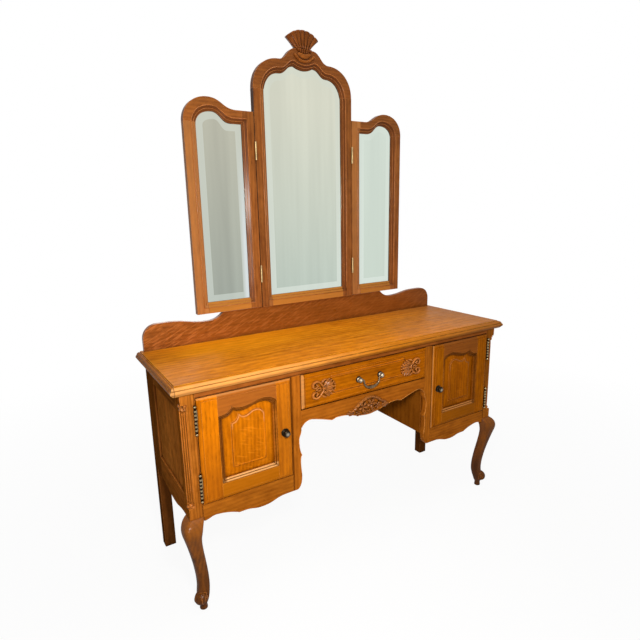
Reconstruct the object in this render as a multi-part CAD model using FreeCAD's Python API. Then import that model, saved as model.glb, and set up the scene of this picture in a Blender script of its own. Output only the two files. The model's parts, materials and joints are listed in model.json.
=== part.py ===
import FreeCAD, Part
import math
import os

# Oak dressing table with a three-part mirror. Lengths are in millimetres, +Z is up and the front faces -Y.
# A depth is measured forward from the flush back of the case. Pieces of the right half have positive x.

# Overall sizes
top_height = 780.0
slab_width = 1418.0
slab_depth = 444.0
slab_thickness = 31.0
side_overhang = 29.5
front_overhang = 21.0
running_gap = 2.0
seat_gap = 0.3
screw_clearance = 0.1
pin_clearance = 0.05
overrun = 5.0

# Moulded edge of the top
edge_reach = 17.0
edge_quirk = 3.0
edge_ovolo_drop = 12.0
nose_reach = 4.0
nose_height = 13.0
edge_undercut = 9.0
round_via_share = math.sqrt(0.5)

# Case frame
post_size = 44.0
post_bottom = 337.0
frame_thickness = 20.0
top_rail_height = 20.0
rear_rail_height = 63.0
inner_post_width = 36.5
kneehole_width = 563.0
inner_side_thickness = 16.0
inner_side_drop = 2.0
floor_thickness = 16.0
floor_top = 378.0
back_thickness = 6.0
inner_post_foot = 316.0

# Chamfer with flutes on the front posts
chamfer_leg = 18.0
chamfer_foot = 41.0
chamfer_head = 35.0
flute_radius = 2.6
flute_pitch = 7.2
flute_margin = 12.0
flute_shares = (-1.0, 0.0, 1.0)

# Side frames
rear_leg_width = 40.0
rear_leg_depth = 38.0
rear_stile_depth = 100.0
rear_stile_bottom = 330.0
side_thickness = 22.0
side_top_rail_height = 63.0
side_low_rail_top = 410.0
side_arch_low = 318.0
panel_thickness = 8.0
groove_depth = 7.0

# Shaped rails
apron_gap = 4.0
apron_height = 82.0
apron_end_height = 63.0
apron_arch_height = 42.0
apron_cusp_height = 65.0
apron_shoulder_height = 60.0
apron_cusp_share = 0.568
apron_shoulder_share = 0.48
apron_arch_share = 0.84
apron_via_share = 0.69
door_apron_low = 301.0
door_apron_cusp = 310.0
door_apron_arch = 331.0
door_apron_end = 323.0
door_apron_shares = (0.084, 0.372, 0.580, 0.634, 0.75, 0.876)
scallop_shares = ((0.0, 0.88), (0.26, 0.9), (0.26, 0.80))
scallop_low_shares = ((0.26, 0.70), (0.18, 0.62), (0.0, 0.56))
scallop_knee_shares = ((0.20, 0.53), (0.17, 0.42), (0.05, 0.22))
scallop_foot_shares = ((0.02, 0.10), (0.30, 0.0), (0.62, 0.0))

# Cabriole legs: level, place along the diagonal from the post's corner, side and corner roundness
leg_level_shares = (1.0, 0.975, 0.94, 0.89, 0.82, 0.72, 0.61, 0.48, 0.35, 0.24, 0.16, 0.105, 0.06)
leg_place_shares = (0.50, 0.30, 0.16, 0.10, 0.09, 0.196, 0.355, 0.518, 0.62, 0.633, 0.523, 0.44, 0.45)
leg_side_shares = (1.0, 1.14, 1.26, 1.30, 1.22, 1.08, 1.0, 0.96, 0.95, 0.94, 0.96, 0.95, 0.78)
leg_round_shares = (0.08, 0.14, 0.18, 0.20, 0.24, 0.30, 0.33, 0.35, 0.36, 0.36, 0.36, 0.36, 0.38)
leg_lean = 5.0
scroll_radius = 22.0
scroll_length = 36.0
scroll_height = 46.0
scroll_inset = 16.0
pad_radius = 14.0
pad_height = 22.0
pad_inset = 30.0

# Doors and drawer front
front_thickness = 22.0
front_proud = 8.0
lip_width = 12.0
lip_step = 2.2
lip_drop = 7.0
hinge_stile_width = 62.0
lock_stile_width = 54.0
door_low_rail = 53.0
door_top_rail = 42.0
ogee_height = 27.0
ogee_shares = (
    ((0.12, 0.0), (0.20, 0.35), (0.228, 0.89)),
    ((0.27, 0.60), (0.33, 0.48), (0.39, 0.48)),
    ((0.52, 0.48), (0.62, 1.0), (0.762, 1.0)),
    ((0.87, 1.0), (0.95, 0.75), (1.0, 0.33)),
)
sticking_width = 13.0
sticking_step = 1.5
sticking_drop = 9.0
door_panel_thickness = 6.0
door_panel_setback = 13.0
panel_edge_gap = 2.0
field_rise = 4.5
field_step = 3.5
field_inset = 43.0
field_top_inset = 34.0
knob_rise = 166.0
knob_inset = 28.0
knob_reach = 26.0
knob_radius = 14.0
knob_rose_radius = 11.0
knob_rose_height = 3.0
knob_neck_radius = 6.0
knob_neck_height = 9.0
knob_shank_radius = 3.0
knob_crown_share = 0.75

# Door hinges
hinge_level_shares = (0.17, 0.81)
hinge_barrel_radius = 4.5
hinge_barrel_length = 36.0
hinge_neck_radius = 3.2
hinge_beads_per_half = 3
hinge_bead_shares = ((0.84, 0.1), (0.96, 0.28), (1.0, 0.5), (0.96, 0.72), (0.84, 0.9))
hinge_reach = 5.5
hinge_set_out = 3.5
hinge_pin_radius = 2.4
hinge_pin_length = 28.0
hinge_leaf_thickness = 1.5
hinge_leaf_depth = 16.0
hinge_leaf_margin = 2.0
finial_neck_radius = 2.5
finial_ball_radius = 5.0
finial_neck_length = 3.0
finial_ball_length = 10.0
finial_ball_shares = ((0.8, 0.2), (1.0, 0.45), (0.92, 0.68), (0.6, 0.88))

# Door catches
catch_height = 20.0
catch_depth = 14.0
catch_reach = 16.0
catch_pad_radius = 4.0
catch_pad_inset = 7.0

# Drawer
drawer_height = 120.0
drawer_side_thickness = 12.0
drawer_side_height = 88.0
drawer_box_length = 330.0
drawer_side_gap = 3.0
drawer_lift = 5.0
drawer_bottom_thickness = 5.0
drawer_bottom_rise = 8.0
drawer_groove = 5.0
runner_width = 22.0
runner_height = 20.0
runner_rear = 40.0

# Drop handle
handle_spacing = 96.0
handle_rise = 61.0
handle_drop = 36.0
handle_stand_off = 14.0
handle_rod_radius = 2.8
handle_pivot_radius = 2.2
handle_pivot_length = 8.0
handle_post_radius = 6.0
handle_post_rose_radius = 11.5
handle_post_rose_height = 4.0
handle_shank_radius = 2.0
handle_upper_bend = 8.0
handle_lower_bend = 20.0

# Backboard
board_thickness = 18.0
board_half_length = 681.0
board_end_height = 40.0
board_round = 54.0
board_bump = 94.0
board_dip = 78.0
board_height = 105.0
board_bump_half = 594.0
board_dip_half = 440.0
board_rise_half = 380.0
wave_hold_share = 0.5

# Mirror frames
frame_depth = 24.0
mirror_half_width = 217.0
mirror_stile_width = 46.0
mirror_rail_width = 42.0
mirror_lip = 12.0
sight_splay_width = 17.0
sight_splay_step = 2.5
sight_splay_drop = 9.5
rebate_width = 8.0
glass_thickness = 4.0
glass_gap = 1.0
glass_back_thickness = 4.0
center_straight = 805.0
center_shoulder_rise = 109.0
center_crest_rise = 44.0
center_crest_half = 36.0
center_shoulder_half = 110.0
center_sight_drop = 22.0
center_sight_shoulder_drop = 47.0
center_sight_cusp_drop = 61.0
center_sight_lobe_drop = 72.0
center_sight_shoulder_half = 105.0
center_cusp_half = 42.0
wing_width = 262.0
wing_straight = 675.0
wing_low_rise = 48.0
wing_high_rise = 84.0
wing_flat = 66.0
wing_bump = 173.0
wing_sight_drop = 45.0
wing_sight_spring_drop = 8.0
wing_sight_flat_share = 0.24
wing_sight_bump_share = 0.66
corner_hold_share = 0.58

# Fan finial
fan_center_drop = 28.0
fan_radius = 101.0
fan_valley = 95.0
fan_half_angle = math.radians(45.8)
fan_lobes = 7
fan_neck_half = 32.0
fan_thickness = 22.0

# Mirror hinges
wing_hinge_low_rise = 132.0
wing_hinge_high_rise = 588.0
wing_hinge_length = 64.0
wing_hinge_radius = 3.5
wing_hinge_reach = 4.0
wing_hinge_pin_radius = 1.6
wing_leaf_thickness = 0.8
wing_leaf_depth = 16.0
wing_knuckle_gap = 0.3

# Mirror supports and their screws
support_width = 40.0
support_thickness = 20.0
support_drop = 113.0
support_rise = 675.0
screw_head_radius = 4.5
screw_head_height = 3.0
screw_radius = 2.0
screw_length = 30.0
rail_screw_low_drop = 48.0
rail_screw_high_drop = 15.0
board_screw_rise = 50.0
stile_screw_low_rise = 75.0
stile_screw_mid_rise = 365.0
stile_screw_high_rise = 635.0

# Places worked out from the sizes
slab_half = slab_width / 2
case_half = slab_half - side_overhang
face_depth = slab_depth - front_overhang
slab_bottom = top_height - slab_thickness
post_inner = case_half - post_size
side_inner = case_half - side_thickness
rear_leg_inner = case_half - rear_leg_width
frame_back = face_depth - frame_thickness
post_back = face_depth - post_size
top_rail_low = slab_bottom - top_rail_height
kneehole_half = kneehole_width / 2
inner_post_outer = kneehole_half + inner_post_width
inner_side_outer = kneehole_half + inner_side_thickness
door_hinge_edge = post_inner - running_gap
door_lock_edge = inner_post_outer + running_gap
door_low = floor_top + running_gap
door_high = top_rail_low - running_gap
front_face = face_depth + front_proud
front_back = front_face - front_thickness
drawer_low = door_high - drawer_height
drawer_half = kneehole_half - running_gap
apron_top = drawer_low - apron_gap
apron_low = apron_top - apron_height
apron_end = apron_top - apron_end_height
apron_arch = apron_top - apron_arch_height
apron_cusp = apron_top - apron_cusp_height
apron_shoulder = apron_top - apron_shoulder_height
inner_side_bottom = floor_top - floor_thickness - inner_side_drop
chamfer_low = post_bottom + chamfer_foot
chamfer_high = slab_bottom - chamfer_head
knob_height = door_low + knob_rise
handle_height = drawer_low + handle_rise
hinge_levels = [door_low + share * (door_high - door_low) for share in hinge_level_shares]
mirror_low = top_height + board_height
center_spring = mirror_low + center_straight
center_shoulder = center_spring + center_shoulder_rise
center_crest = center_shoulder + center_crest_rise
center_sight_spring = center_spring - center_sight_drop
center_sight_shoulder = center_shoulder - center_sight_shoulder_drop
center_sight_cusp = center_crest - center_sight_cusp_drop
center_sight_lobe = center_crest - center_sight_lobe_drop
wing_spring = mirror_low + wing_straight
wing_low = wing_spring + wing_low_rise
wing_high = wing_spring + wing_high_rise
wing_sight_spring = wing_spring - wing_sight_spring_drop
wing_hinge_levels = (mirror_low + wing_hinge_low_rise, mirror_low + wing_hinge_high_rise)
fan_center = center_crest - fan_center_drop
support_bottom = slab_bottom - support_drop
support_top = mirror_low + support_rise
support_screw_levels = (
    slab_bottom - rail_screw_low_drop,
    slab_bottom - rail_screw_high_drop,
    top_height + board_screw_rise,
    mirror_low + stile_screw_low_rise,
    mirror_low + stile_screw_mid_rise,
    mirror_low + stile_screw_high_rise,
)
front_reach = front_face + knob_reach
back_y = (front_reach - support_thickness) / 2
up = FreeCAD.Vector(0, 0, 1)
forward = FreeCAD.Vector(0, -1, 0)
rightward = FreeCAD.Vector(1, 0, 0)


def at(x, depth, z):
    """A point given by its x, its depth in front of the flush back and its height."""
    return FreeCAD.Vector(x, back_y - depth, z)


def box(x0, x1, depth0, depth1, z0, z1):
    corner = at(min(x0, x1), max(depth0, depth1), min(z0, z1))
    return Part.makeBox(abs(x1 - x0), abs(depth1 - depth0), abs(z1 - z0), corner)


def cylinder(radius, length, start, direction):
    return Part.makeCylinder(radius, length, start, direction)


def mirrored(shape):
    """The same piece on the left half."""
    return shape.mirror(FreeCAD.Vector(0, 0, 0), rightward)


def group(*solids):
    return Part.makeCompound(list(solids))


def wire(start, steps, place):
    """A closed wire through 2-D steps: one point is a line, two an arc, three a Bezier curve."""
    edges = []
    here = start
    for step in steps:
        points = [place(*point) for point in (here,) + tuple(step)]
        if len(points) == 2:
            edges.append(Part.makeLine(*points))
        elif len(points) == 3:
            edges.append(Part.Arc(*points).toShape())
        else:
            curve = Part.BezierCurve()
            curve.setPoles(points)
            edges.append(curve.toShape())
        here = step[-1]
    if (place(*here) - place(*start)).Length > pin_clearance:
        edges.append(Part.makeLine(place(*here), place(*start)))
    return Part.Wire(edges)


def symmetric(start, steps):
    """Closes the steps of a right half, which start and end on the middle line, with their mirror image."""
    points = [start] + [step[-1] for step in steps]
    back = []
    for index in range(len(steps) - 1, -1, -1):
        inner = [(-x, z) for x, z in reversed(steps[index][:-1])]
        x, z = points[index]
        back.append(tuple(inner) + ((-x, z),))
    return list(steps) + back


def front_prism(start, steps, depth0, depth1):
    """An outline in x and height, extruded from one depth to another."""
    outline = wire(start, steps, lambda x, z: at(x, depth0, z))
    return Part.Face(outline).extrude(forward * (depth1 - depth0))


def side_prism(start, steps, x0, x1):
    """An outline in depth and height, extruded along x."""
    outline = wire(start, steps, lambda depth, z: at(x0, depth, z))
    return Part.Face(outline).extrude(rightward * (x1 - x0))


def plan_prism(start, steps, z0, z1):
    """An outline in x and depth, extruded upwards."""
    outline = wire(start, steps, lambda x, depth: at(x, depth, z0))
    return Part.Face(outline).extrude(up * (z1 - z0))


def turned(profile, place, axis_start, axis_direction):
    """A turned solid: the profile gives radius and height pairs, from axis to axis."""
    points = [place(radius, height) for radius, height in profile]
    points.append(points[0])
    return Part.Face(Part.makePolygon(points)).revolve(axis_start, axis_direction, math.degrees(2 * math.pi))


def turned_up(x, depth, profile):
    return turned(profile, lambda radius, z: at(x + radius, depth, z), at(x, depth, 0), up)


def turned_forward(x, z, profile):
    return turned(profile, lambda radius, depth: at(x + radius, depth, z), at(x, 0, z), forward)


def quarter(start, end):
    """An arc step that leaves start along the first axis and meets end along the second."""
    via_x = start[0] + (end[0] - start[0]) * round_via_share
    via_z = end[1] + (start[1] - end[1]) * round_via_share
    return ((via_x, via_z), end)


def wave(start, end, hold_share=wave_hold_share):
    """An S-shaped step that is level at both ends."""
    reach = (end[0] - start[0]) * hold_share
    return ((start[0] + reach, start[1]), (end[0] - reach, end[1]), end)


def corner(start, end):
    """A rounded corner step that starts upright and ends level."""
    lift = (end[1] - start[1]) * corner_hold_share
    reach = (start[0] - end[0]) * corner_hold_share
    return ((start[0], start[1] + lift), (end[0] + reach, end[1]), end)


def slab_edge(tip, sign):
    """Steps of the moulded edge from the top arris to the underside, for an edge that points to sign."""
    quirk_in = tip - sign * (edge_reach - edge_quirk)
    quirk_low = top_height - edge_quirk
    nose_in = tip - sign * nose_reach
    nose_top = top_height - edge_ovolo_drop
    nose_low = nose_top - nose_height
    return [
        ((tip - sign * edge_reach, quirk_low),),
        ((quirk_in, quirk_low),),
        quarter((quirk_in, quirk_low), (nose_in, nose_top)),
        ((tip, (nose_top + nose_low) / 2), (nose_in, nose_low)),
        ((tip - sign * edge_undercut, slab_bottom),),
    ]


def table_top():
    across = [((slab_half - edge_reach, top_height),)]
    across += slab_edge(slab_half, 1)
    across.append(((0, slab_bottom),))
    profile = symmetric((0, top_height), across)
    lengthwise = front_prism((0, top_height), profile, 0, slab_depth)
    section = [((slab_depth - edge_reach, top_height),)]
    section += slab_edge(slab_depth, 1)
    section.append(((0, slab_bottom),))
    crosswise = side_prism((0, top_height), section, -slab_half, slab_half)
    return lengthwise.common(crosswise)


def backboard():
    bump = top_height + board_bump
    dip = top_height + board_dip
    round_half = board_half_length - board_round
    rise_via = (board_rise_half + board_dip_half) / 2
    rise_radius = ((board_dip_half - board_rise_half) ** 2 / (mirror_low - dip) + mirror_low - dip) / 2
    rise_low = dip + rise_radius - math.sqrt(rise_radius ** 2 - (board_dip_half - rise_via) ** 2)
    steps = [
        ((board_half_length, top_height),),
        ((board_half_length, top_height + board_end_height),),
        corner((board_half_length, top_height + board_end_height), (round_half, bump)),
        ((board_bump_half, bump),),
        wave((board_bump_half, bump), (board_dip_half, dip)),
        ((rise_via, rise_low), (board_rise_half, mirror_low)),
        ((0, mirror_low),),
    ]
    solid = front_prism((0, top_height), symmetric((0, top_height), steps), 0, board_thickness)
    return solid.cut(screws(screw_clearance))


def front_post():
    """A corner post whose outer corner has a fluted chamfer between two square blocks."""
    solid = box(post_inner, case_half, post_back, face_depth, post_bottom, slab_bottom)
    corner_in = case_half - chamfer_leg
    steps = [
        ((case_half + overrun, face_depth - chamfer_leg - overrun),),
        ((case_half + overrun, face_depth + overrun),),
        ((corner_in - overrun, face_depth + overrun),),
    ]
    start = (corner_in - overrun, face_depth + overrun)
    solid = solid.cut(plan_prism(start, steps, chamfer_low, chamfer_high))
    middle = chamfer_leg / 2
    for share in flute_shares:
        shift = share * flute_pitch * round_via_share
        foot = at(case_half - middle + shift, face_depth - middle - shift, chamfer_low + flute_margin)
        solid = solid.cut(cylinder(flute_radius, chamfer_high - chamfer_low - 2 * flute_margin, foot, up))
    return solid.cut(side_groove())


def front_leg():
    """A cabriole leg lofted through square sections with rounded corners, with a scroll toe on a pad."""
    diagonal = post_size * math.sqrt(2)
    sections = []
    rows = zip(leg_level_shares, leg_place_shares, leg_side_shares, leg_round_shares)
    for level, place, side, roundness in rows:
        inset = place * diagonal * round_via_share
        half = side * post_size / 2
        radius = 2 * half * roundness
        x = case_half - inset - leg_lean * (1 - level)
        sections.append(rounded_square(x, face_depth - inset, half, radius, level * post_bottom))
    solid = Part.makeLoft(sections, True)
    outward = FreeCAD.Vector(1, -1, 0).normalize()
    across = FreeCAD.Vector(1, 1, 0).normalize()
    toe = at(case_half - leg_lean, face_depth, 0)
    scroll_start = toe - outward * scroll_inset - across * (scroll_length / 2) + up * scroll_height
    solid = solid.fuse(cylinder(scroll_radius, scroll_length, scroll_start, across))
    solid = solid.fuse(cylinder(pad_radius, pad_height, toe - outward * pad_inset, up))
    return solid.removeSplitter()


def rounded_square(x, depth, half, radius, z):
    flat = half - radius
    via = flat + radius * round_via_share
    steps = [
        ((x + half, depth + flat),),
        ((x + via, depth + via), (x + flat, depth + half)),
        ((x - flat, depth + half),),
        ((x - via, depth + via), (x - half, depth + flat)),
        ((x - half, depth - flat),),
        ((x - via, depth - via), (x - flat, depth - half)),
        ((x + flat, depth - half),),
        ((x + via, depth - via), (x + half, depth - flat)),
    ]
    return wire((x + half, depth - flat), steps, lambda a, b: at(a, b, z))


def side_groove():
    """The space that a side panel fills, tongue included."""
    x = case_half - (side_thickness + panel_thickness) / 2
    low = side_low_rail_top - groove_depth
    high = slab_bottom - side_top_rail_height + groove_depth
    rear = rear_stile_depth - groove_depth
    return box(x, x + panel_thickness, rear, post_back + groove_depth, low, high)


def rear_post():
    leg = box(rear_leg_inner, case_half, 0, rear_leg_depth, 0, slab_bottom)
    stile = box(side_inner, case_half, 0, rear_stile_depth, rear_stile_bottom, slab_bottom)
    return leg.fuse(stile).removeSplitter().cut(side_groove())


def side_rails():
    top_low = slab_bottom - side_top_rail_height
    top = box(side_inner, case_half, rear_stile_depth, post_back, top_low, slab_bottom)
    middle = (rear_stile_depth + post_back) / 2
    steps = [
        wave((rear_stile_depth, rear_stile_bottom), (middle, side_arch_low)),
        wave((middle, side_arch_low), (post_back, post_bottom)),
        ((post_back, side_low_rail_top),),
        ((rear_stile_depth, side_low_rail_top),),
    ]
    low = side_prism((rear_stile_depth, rear_stile_bottom), steps, side_inner, case_half)
    return group(top.cut(side_groove()), low.cut(side_groove()))


def inner_post():
    """A post beside the kneehole, whose free edge is scalloped below the apron."""
    x0 = kneehole_half
    height = apron_end - inner_post_foot

    def shaped(shares):
        points = [(across * inner_post_width, rise * height) for across, rise in shares]
        return tuple((x0 + across, inner_post_foot + rise) for across, rise in points)

    steps = [
        ((inner_post_outer, top_rail_low),),
        ((x0, top_rail_low),),
        ((x0, apron_end),),
        shaped(scallop_shares),
        shaped(scallop_low_shares),
        shaped(scallop_knee_shares),
        shaped(scallop_foot_shares),
        ((inner_post_outer, inner_post_foot),),
    ]
    return front_prism((inner_post_outer, inner_post_foot), steps, frame_back, face_depth)


def kneehole_apron():
    cusp = (apron_cusp_share * kneehole_half, apron_cusp)
    shoulder = (apron_shoulder_share * kneehole_half, apron_shoulder)
    arch = (apron_arch_share * kneehole_half, apron_arch)
    steps = [
        wave((0, apron_low), shoulder),
        wave(shoulder, cusp),
        ((apron_via_share * kneehole_half, (apron_arch + apron_cusp) / 2), arch),
        quarter(arch, (kneehole_half, apron_end)),
        ((kneehole_half, apron_top),),
        ((0, apron_top),),
    ]
    return front_prism((0, apron_low), symmetric((0, apron_low), steps), frame_back, face_depth)


def door_apron():
    span = post_inner - inner_post_outer
    flat, low, rise, cusp, via, arch = [inner_post_outer + share * span for share in door_apron_shares]
    steps = [
        ((flat, inner_post_foot),),
        wave((flat, inner_post_foot), (low, door_apron_low)),
        wave((low, door_apron_low), (rise, door_apron_cusp)),
        ((cusp, door_apron_cusp),),
        ((via, (2 * door_apron_arch + door_apron_cusp) / 3), (arch, door_apron_arch)),
        wave((arch, door_apron_arch), (post_inner, door_apron_end)),
        ((post_inner, floor_top),),
        ((inner_post_outer, floor_top),),
    ]
    return front_prism((inner_post_outer, inner_post_foot), steps, frame_back, face_depth)


def inner_side():
    board = box(kneehole_half, inner_side_outer, back_thickness, frame_back, inner_side_bottom, slab_bottom)
    return board.cut(rear_top_rail())


def rear_top_rail():
    rail_front = back_thickness + frame_thickness
    rail_low = slab_bottom - rear_rail_height
    rail = box(-rear_leg_inner, rear_leg_inner, back_thickness, rail_front, rail_low, slab_bottom)
    return rail.cut(screws(screw_clearance))


def cabinet_floor():
    low = floor_top - floor_thickness
    board = box(inner_side_outer, side_inner, back_thickness, frame_back, low, floor_top)
    front_notch = box(post_inner, case_half, post_back, face_depth, 0, slab_bottom)
    rear_notch = box(rear_leg_inner, case_half, 0, rear_leg_depth, 0, slab_bottom)
    return board.cut(front_notch).cut(rear_notch)


def back_panels():
    """Thin back boards: one behind each cabinet and one behind the drawer."""
    seam = (kneehole_half + inner_side_outer) / 2
    low = floor_top - floor_thickness
    cabinet = box(seam, rear_leg_inner, 0, back_thickness, low, slab_bottom)
    middle = box(-seam, seam, 0, back_thickness, apron_top, slab_bottom)
    return group(cabinet, mirrored(cabinet), middle.cut(screws(screw_clearance)))


def moulded_front(x0, x1, z0, z1):
    """A door or drawer front with a rounded lip all round its face."""
    lip = front_face - lip_step
    edge = front_face - lip_drop

    def section(low, high):
        return [
            ((edge, low),),
            quarter((edge, low), (lip, low + lip_width)),
            ((front_face, low + lip_width),),
            ((front_face, high - lip_width),),
            ((lip, high - lip_width),),
            quarter_out((lip, high - lip_width), (edge, high)),
            ((front_back, high),),
        ]

    crosswise = side_prism((front_back, z0), section(z0, z1), x0, x1)
    steps = [tuple((b, a) for a, b in step) for step in section(x0, x1)]
    upright = plan_prism((x0, front_back), steps, z0, z1)
    return crosswise.common(upright)


def quarter_out(start, end):
    """An arc step that leaves start along the second axis and meets end along the first."""
    via = (end[0] + (start[0] - end[0]) * round_via_share, start[1] + (end[1] - start[1]) * round_via_share)
    return (via, end)


def splay(inner, inner_depth, outer, outer_depth):
    """A solid between two outlines of the same steps at two depths, to cut a sloping edge with."""
    low = wire(*inner, lambda x, z: at(x, inner_depth, z))
    high = wire(*outer, lambda x, z: at(x, outer_depth, z))
    return Part.makeLoft([low, high], True, True)


def door_opening(inset, top_inset):
    """Start and steps of the panel opening with its ogee top, drawn in by an inset."""
    hinge_x = door_hinge_edge - hinge_stile_width - inset
    lock_x = door_lock_edge + lock_stile_width + inset
    low = door_low + door_low_rail + inset
    spring = door_high - door_top_rail - ogee_height - top_inset

    def ogee(shares):
        span = lock_x - hinge_x
        return tuple((hinge_x + across * span, spring + rise * ogee_height) for across, rise in shares)

    steps = [((hinge_x, low),), ((hinge_x, spring),)]
    steps += [ogee(shares) for shares in ogee_shares]
    steps.append(((lock_x, low),))
    return (lock_x, low), steps


def door_groove():
    """The space of a door panel's tongue, let into the frame all round."""
    reach = sticking_width - groove_depth
    hinge_x = door_hinge_edge - hinge_stile_width - reach
    lock_x = door_lock_edge + lock_stile_width + reach
    low = door_low + door_low_rail + reach
    high = door_high - door_top_rail - reach
    depth = front_face - door_panel_setback
    return box(lock_x, hinge_x, depth - door_panel_thickness, depth, low, high)


def door_frame():
    """Stiles and rails of a door, cut out of one moulded front."""
    front = moulded_front(door_lock_edge, door_hinge_edge, door_low, door_high)
    outer = door_opening(0, 0)
    inner = door_opening(sticking_width, sticking_width)
    step = front_face - sticking_step
    front = front.cut(front_prism(*inner, front_back - overrun, front_face + overrun))
    front = front.cut(front_prism(*outer, step, front_face + overrun))
    front = front.cut(splay(inner, front_face - sticking_drop, outer, step))
    front = front.cut(door_groove())
    front = front.cut(knob(pin_clearance))
    lock_line = door_lock_edge + lock_stile_width
    hinge_line = door_hinge_edge - hinge_stile_width
    spring = door_high - door_top_rail - ogee_height
    lock_region = stile_region(door_lock_edge, lock_line, 1, spring + ogee_shares[-1][-1][1] * ogee_height)
    hinge_region = stile_region(door_hinge_edge, hinge_line, -1, spring)
    rails = front.cut(lock_region).cut(hinge_region)
    middle = (door_low + door_high) / 2
    depths = (front_back - overrun, front_face + overrun)
    low_rail = rails.common(box(door_lock_edge, door_hinge_edge, *depths, door_low, middle))
    top_rail = rails.common(box(door_lock_edge, door_hinge_edge, *depths, middle, door_high))
    return group(front.common(lock_region), front.common(hinge_region)), group(low_rail, top_rail)


def stile_region(edge, line, sign, top):
    """The part of a door that its stile takes up, mitred where the moulding turns into the rails."""
    inner = line + sign * sticking_width
    low = door_low + door_low_rail
    steps = [
        ((line, door_low),),
        ((line, low),),
        ((inner, low + sticking_width),),
        ((inner, top - sticking_width),),
        ((line, top),),
        ((line, door_high),),
        ((edge, door_high),),
    ]
    return front_prism((edge, door_low), steps, front_back - overrun, front_face + overrun)


def door_panel():
    depth = front_face - door_panel_setback
    edge = sticking_width + panel_edge_gap
    base = door_opening(edge, edge)
    field = door_opening(field_inset, field_top_inset)
    top = depth + field_rise
    raised = splay(base, depth, field, top).fuse(front_prism(*field, top, top + field_step))
    return door_groove().fuse(raised).removeSplitter()


def knob(clearance=0):
    """A turned knob on a rose, with a shank through the door stile."""
    x = door_lock_edge + knob_inset
    tip = front_face + knob_reach
    head_low = front_face + knob_neck_height
    waist = (head_low + tip) / 2
    profile = [
        (0, front_back),
        (knob_shank_radius + clearance, front_back),
        (knob_shank_radius + clearance, front_face),
        (knob_rose_radius, front_face),
        (knob_rose_radius, front_face + knob_rose_height),
        (knob_neck_radius, front_face + knob_rose_height),
        (knob_neck_radius, head_low),
        (knob_radius, waist),
        (knob_radius * knob_crown_share, (waist + 2 * tip) / 3),
        (0, tip),
    ]
    return turned_forward(x, knob_height, profile)


def door_hinge_axis():
    return door_hinge_edge + running_gap + hinge_set_out, face_depth + hinge_reach


def hinge_beads(low, high):
    """Profile of a turned hinge barrel: a row of rounded beads between two levels."""
    pitch = (high - low) / hinge_beads_per_half
    points = []
    for bead in range(hinge_beads_per_half):
        foot = low + bead * pitch
        points.append((hinge_neck_radius, foot))
        points += [(share * hinge_barrel_radius, foot + rise * pitch) for share, rise in hinge_bead_shares]
    points.append((hinge_neck_radius, high))
    return points


def hinge_finial(level, sign):
    """Profile of the ball that ends a hinge barrel, from its neck outwards to the axis."""
    ball = level + sign * finial_neck_length
    points = [(finial_neck_radius, level), (finial_neck_radius, ball)]
    rows = finial_ball_shares
    points += [(share * finial_ball_radius, ball + sign * rise * finial_ball_length) for share, rise in rows]
    points.append((0, ball + sign * finial_ball_length))
    return points


def hinge_pin(level):
    """The lower half of a door hinge: a barrel with a finial, a pin and a leaf on the post."""
    x, depth = door_hinge_axis()
    low = level - hinge_barrel_length
    top = level - seat_gap
    profile = hinge_finial(low, -1)[::-1] + hinge_beads(low, top)
    profile += [
        (hinge_pin_radius, top),
        (hinge_pin_radius, top + hinge_pin_length),
        (0, top + hinge_pin_length),
    ]
    leaf_low = low + hinge_leaf_margin
    leaf_high = top - hinge_leaf_margin
    flap_inner = post_inner - hinge_leaf_thickness
    leaf = box(x, post_inner, face_depth, depth, leaf_low, leaf_high)
    flap = box(flap_inner, post_inner, depth - hinge_leaf_depth, depth, leaf_low, leaf_high)
    return turned_up(x, depth, profile).fuse(leaf).fuse(flap).removeSplitter()


def hinge_sleeve(level):
    """The upper half of a door hinge: a bored barrel with a finial and a leaf on the door's edge."""
    x, depth = door_hinge_axis()
    high = level + hinge_barrel_length
    bore = hinge_pin_radius + pin_clearance
    bore_top = level + hinge_pin_length + seat_gap
    profile = [
        (0, bore_top),
        (bore, bore_top),
        (bore, level),
    ]
    profile += hinge_beads(level, high) + hinge_finial(high, 1)
    arm_depth = depth + hinge_leaf_thickness
    leaf_low = level + hinge_leaf_margin
    leaf_high = high - hinge_leaf_margin
    flap_outer = door_hinge_edge + hinge_leaf_thickness
    arm = box(x - hinge_neck_radius, door_hinge_edge, depth, arm_depth, leaf_low, leaf_high)
    flap = box(door_hinge_edge, flap_outer, arm_depth - hinge_leaf_depth, arm_depth, leaf_low, leaf_high)
    return turned_up(x, depth, profile).fuse(arm).fuse(flap).removeSplitter()


def door_catch():
    """A magnetic catch behind the inner post, whose pad stops the door."""
    low = knob_height - catch_height / 2
    tip = door_lock_edge + catch_reach
    body = box(inner_side_outer, tip, frame_back - catch_depth, frame_back, low, low + catch_height)
    pad_start = at(tip - catch_pad_inset, frame_back, knob_height)
    return body.fuse(cylinder(catch_pad_radius, front_back - frame_back - seat_gap, pad_start, forward))


def drawer_front():
    front = moulded_front(-drawer_half, drawer_half, drawer_low, door_high)
    post = handle_post(screw_clearance)
    return front.cut(post).cut(mirrored(post))


def drawer_base():
    """Level of the drawer sides' lower edges, which is also the top of the runners."""
    return drawer_low + drawer_lift


def drawer_side_outer():
    return kneehole_half - drawer_side_gap


def drawer_bottom():
    low = drawer_base() + drawer_bottom_rise
    half = drawer_side_outer() - drawer_side_thickness + drawer_groove
    rear = front_back - drawer_box_length
    return box(-half, half, rear, front_back, low, low + drawer_bottom_thickness)


def drawer_sides():
    outer = drawer_side_outer()
    rear = front_back - drawer_box_length
    base = drawer_base()
    side = box(outer - drawer_side_thickness, outer, rear, front_back, base, base + drawer_side_height)
    side = side.cut(drawer_bottom())
    return group(side, mirrored(side))


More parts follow.
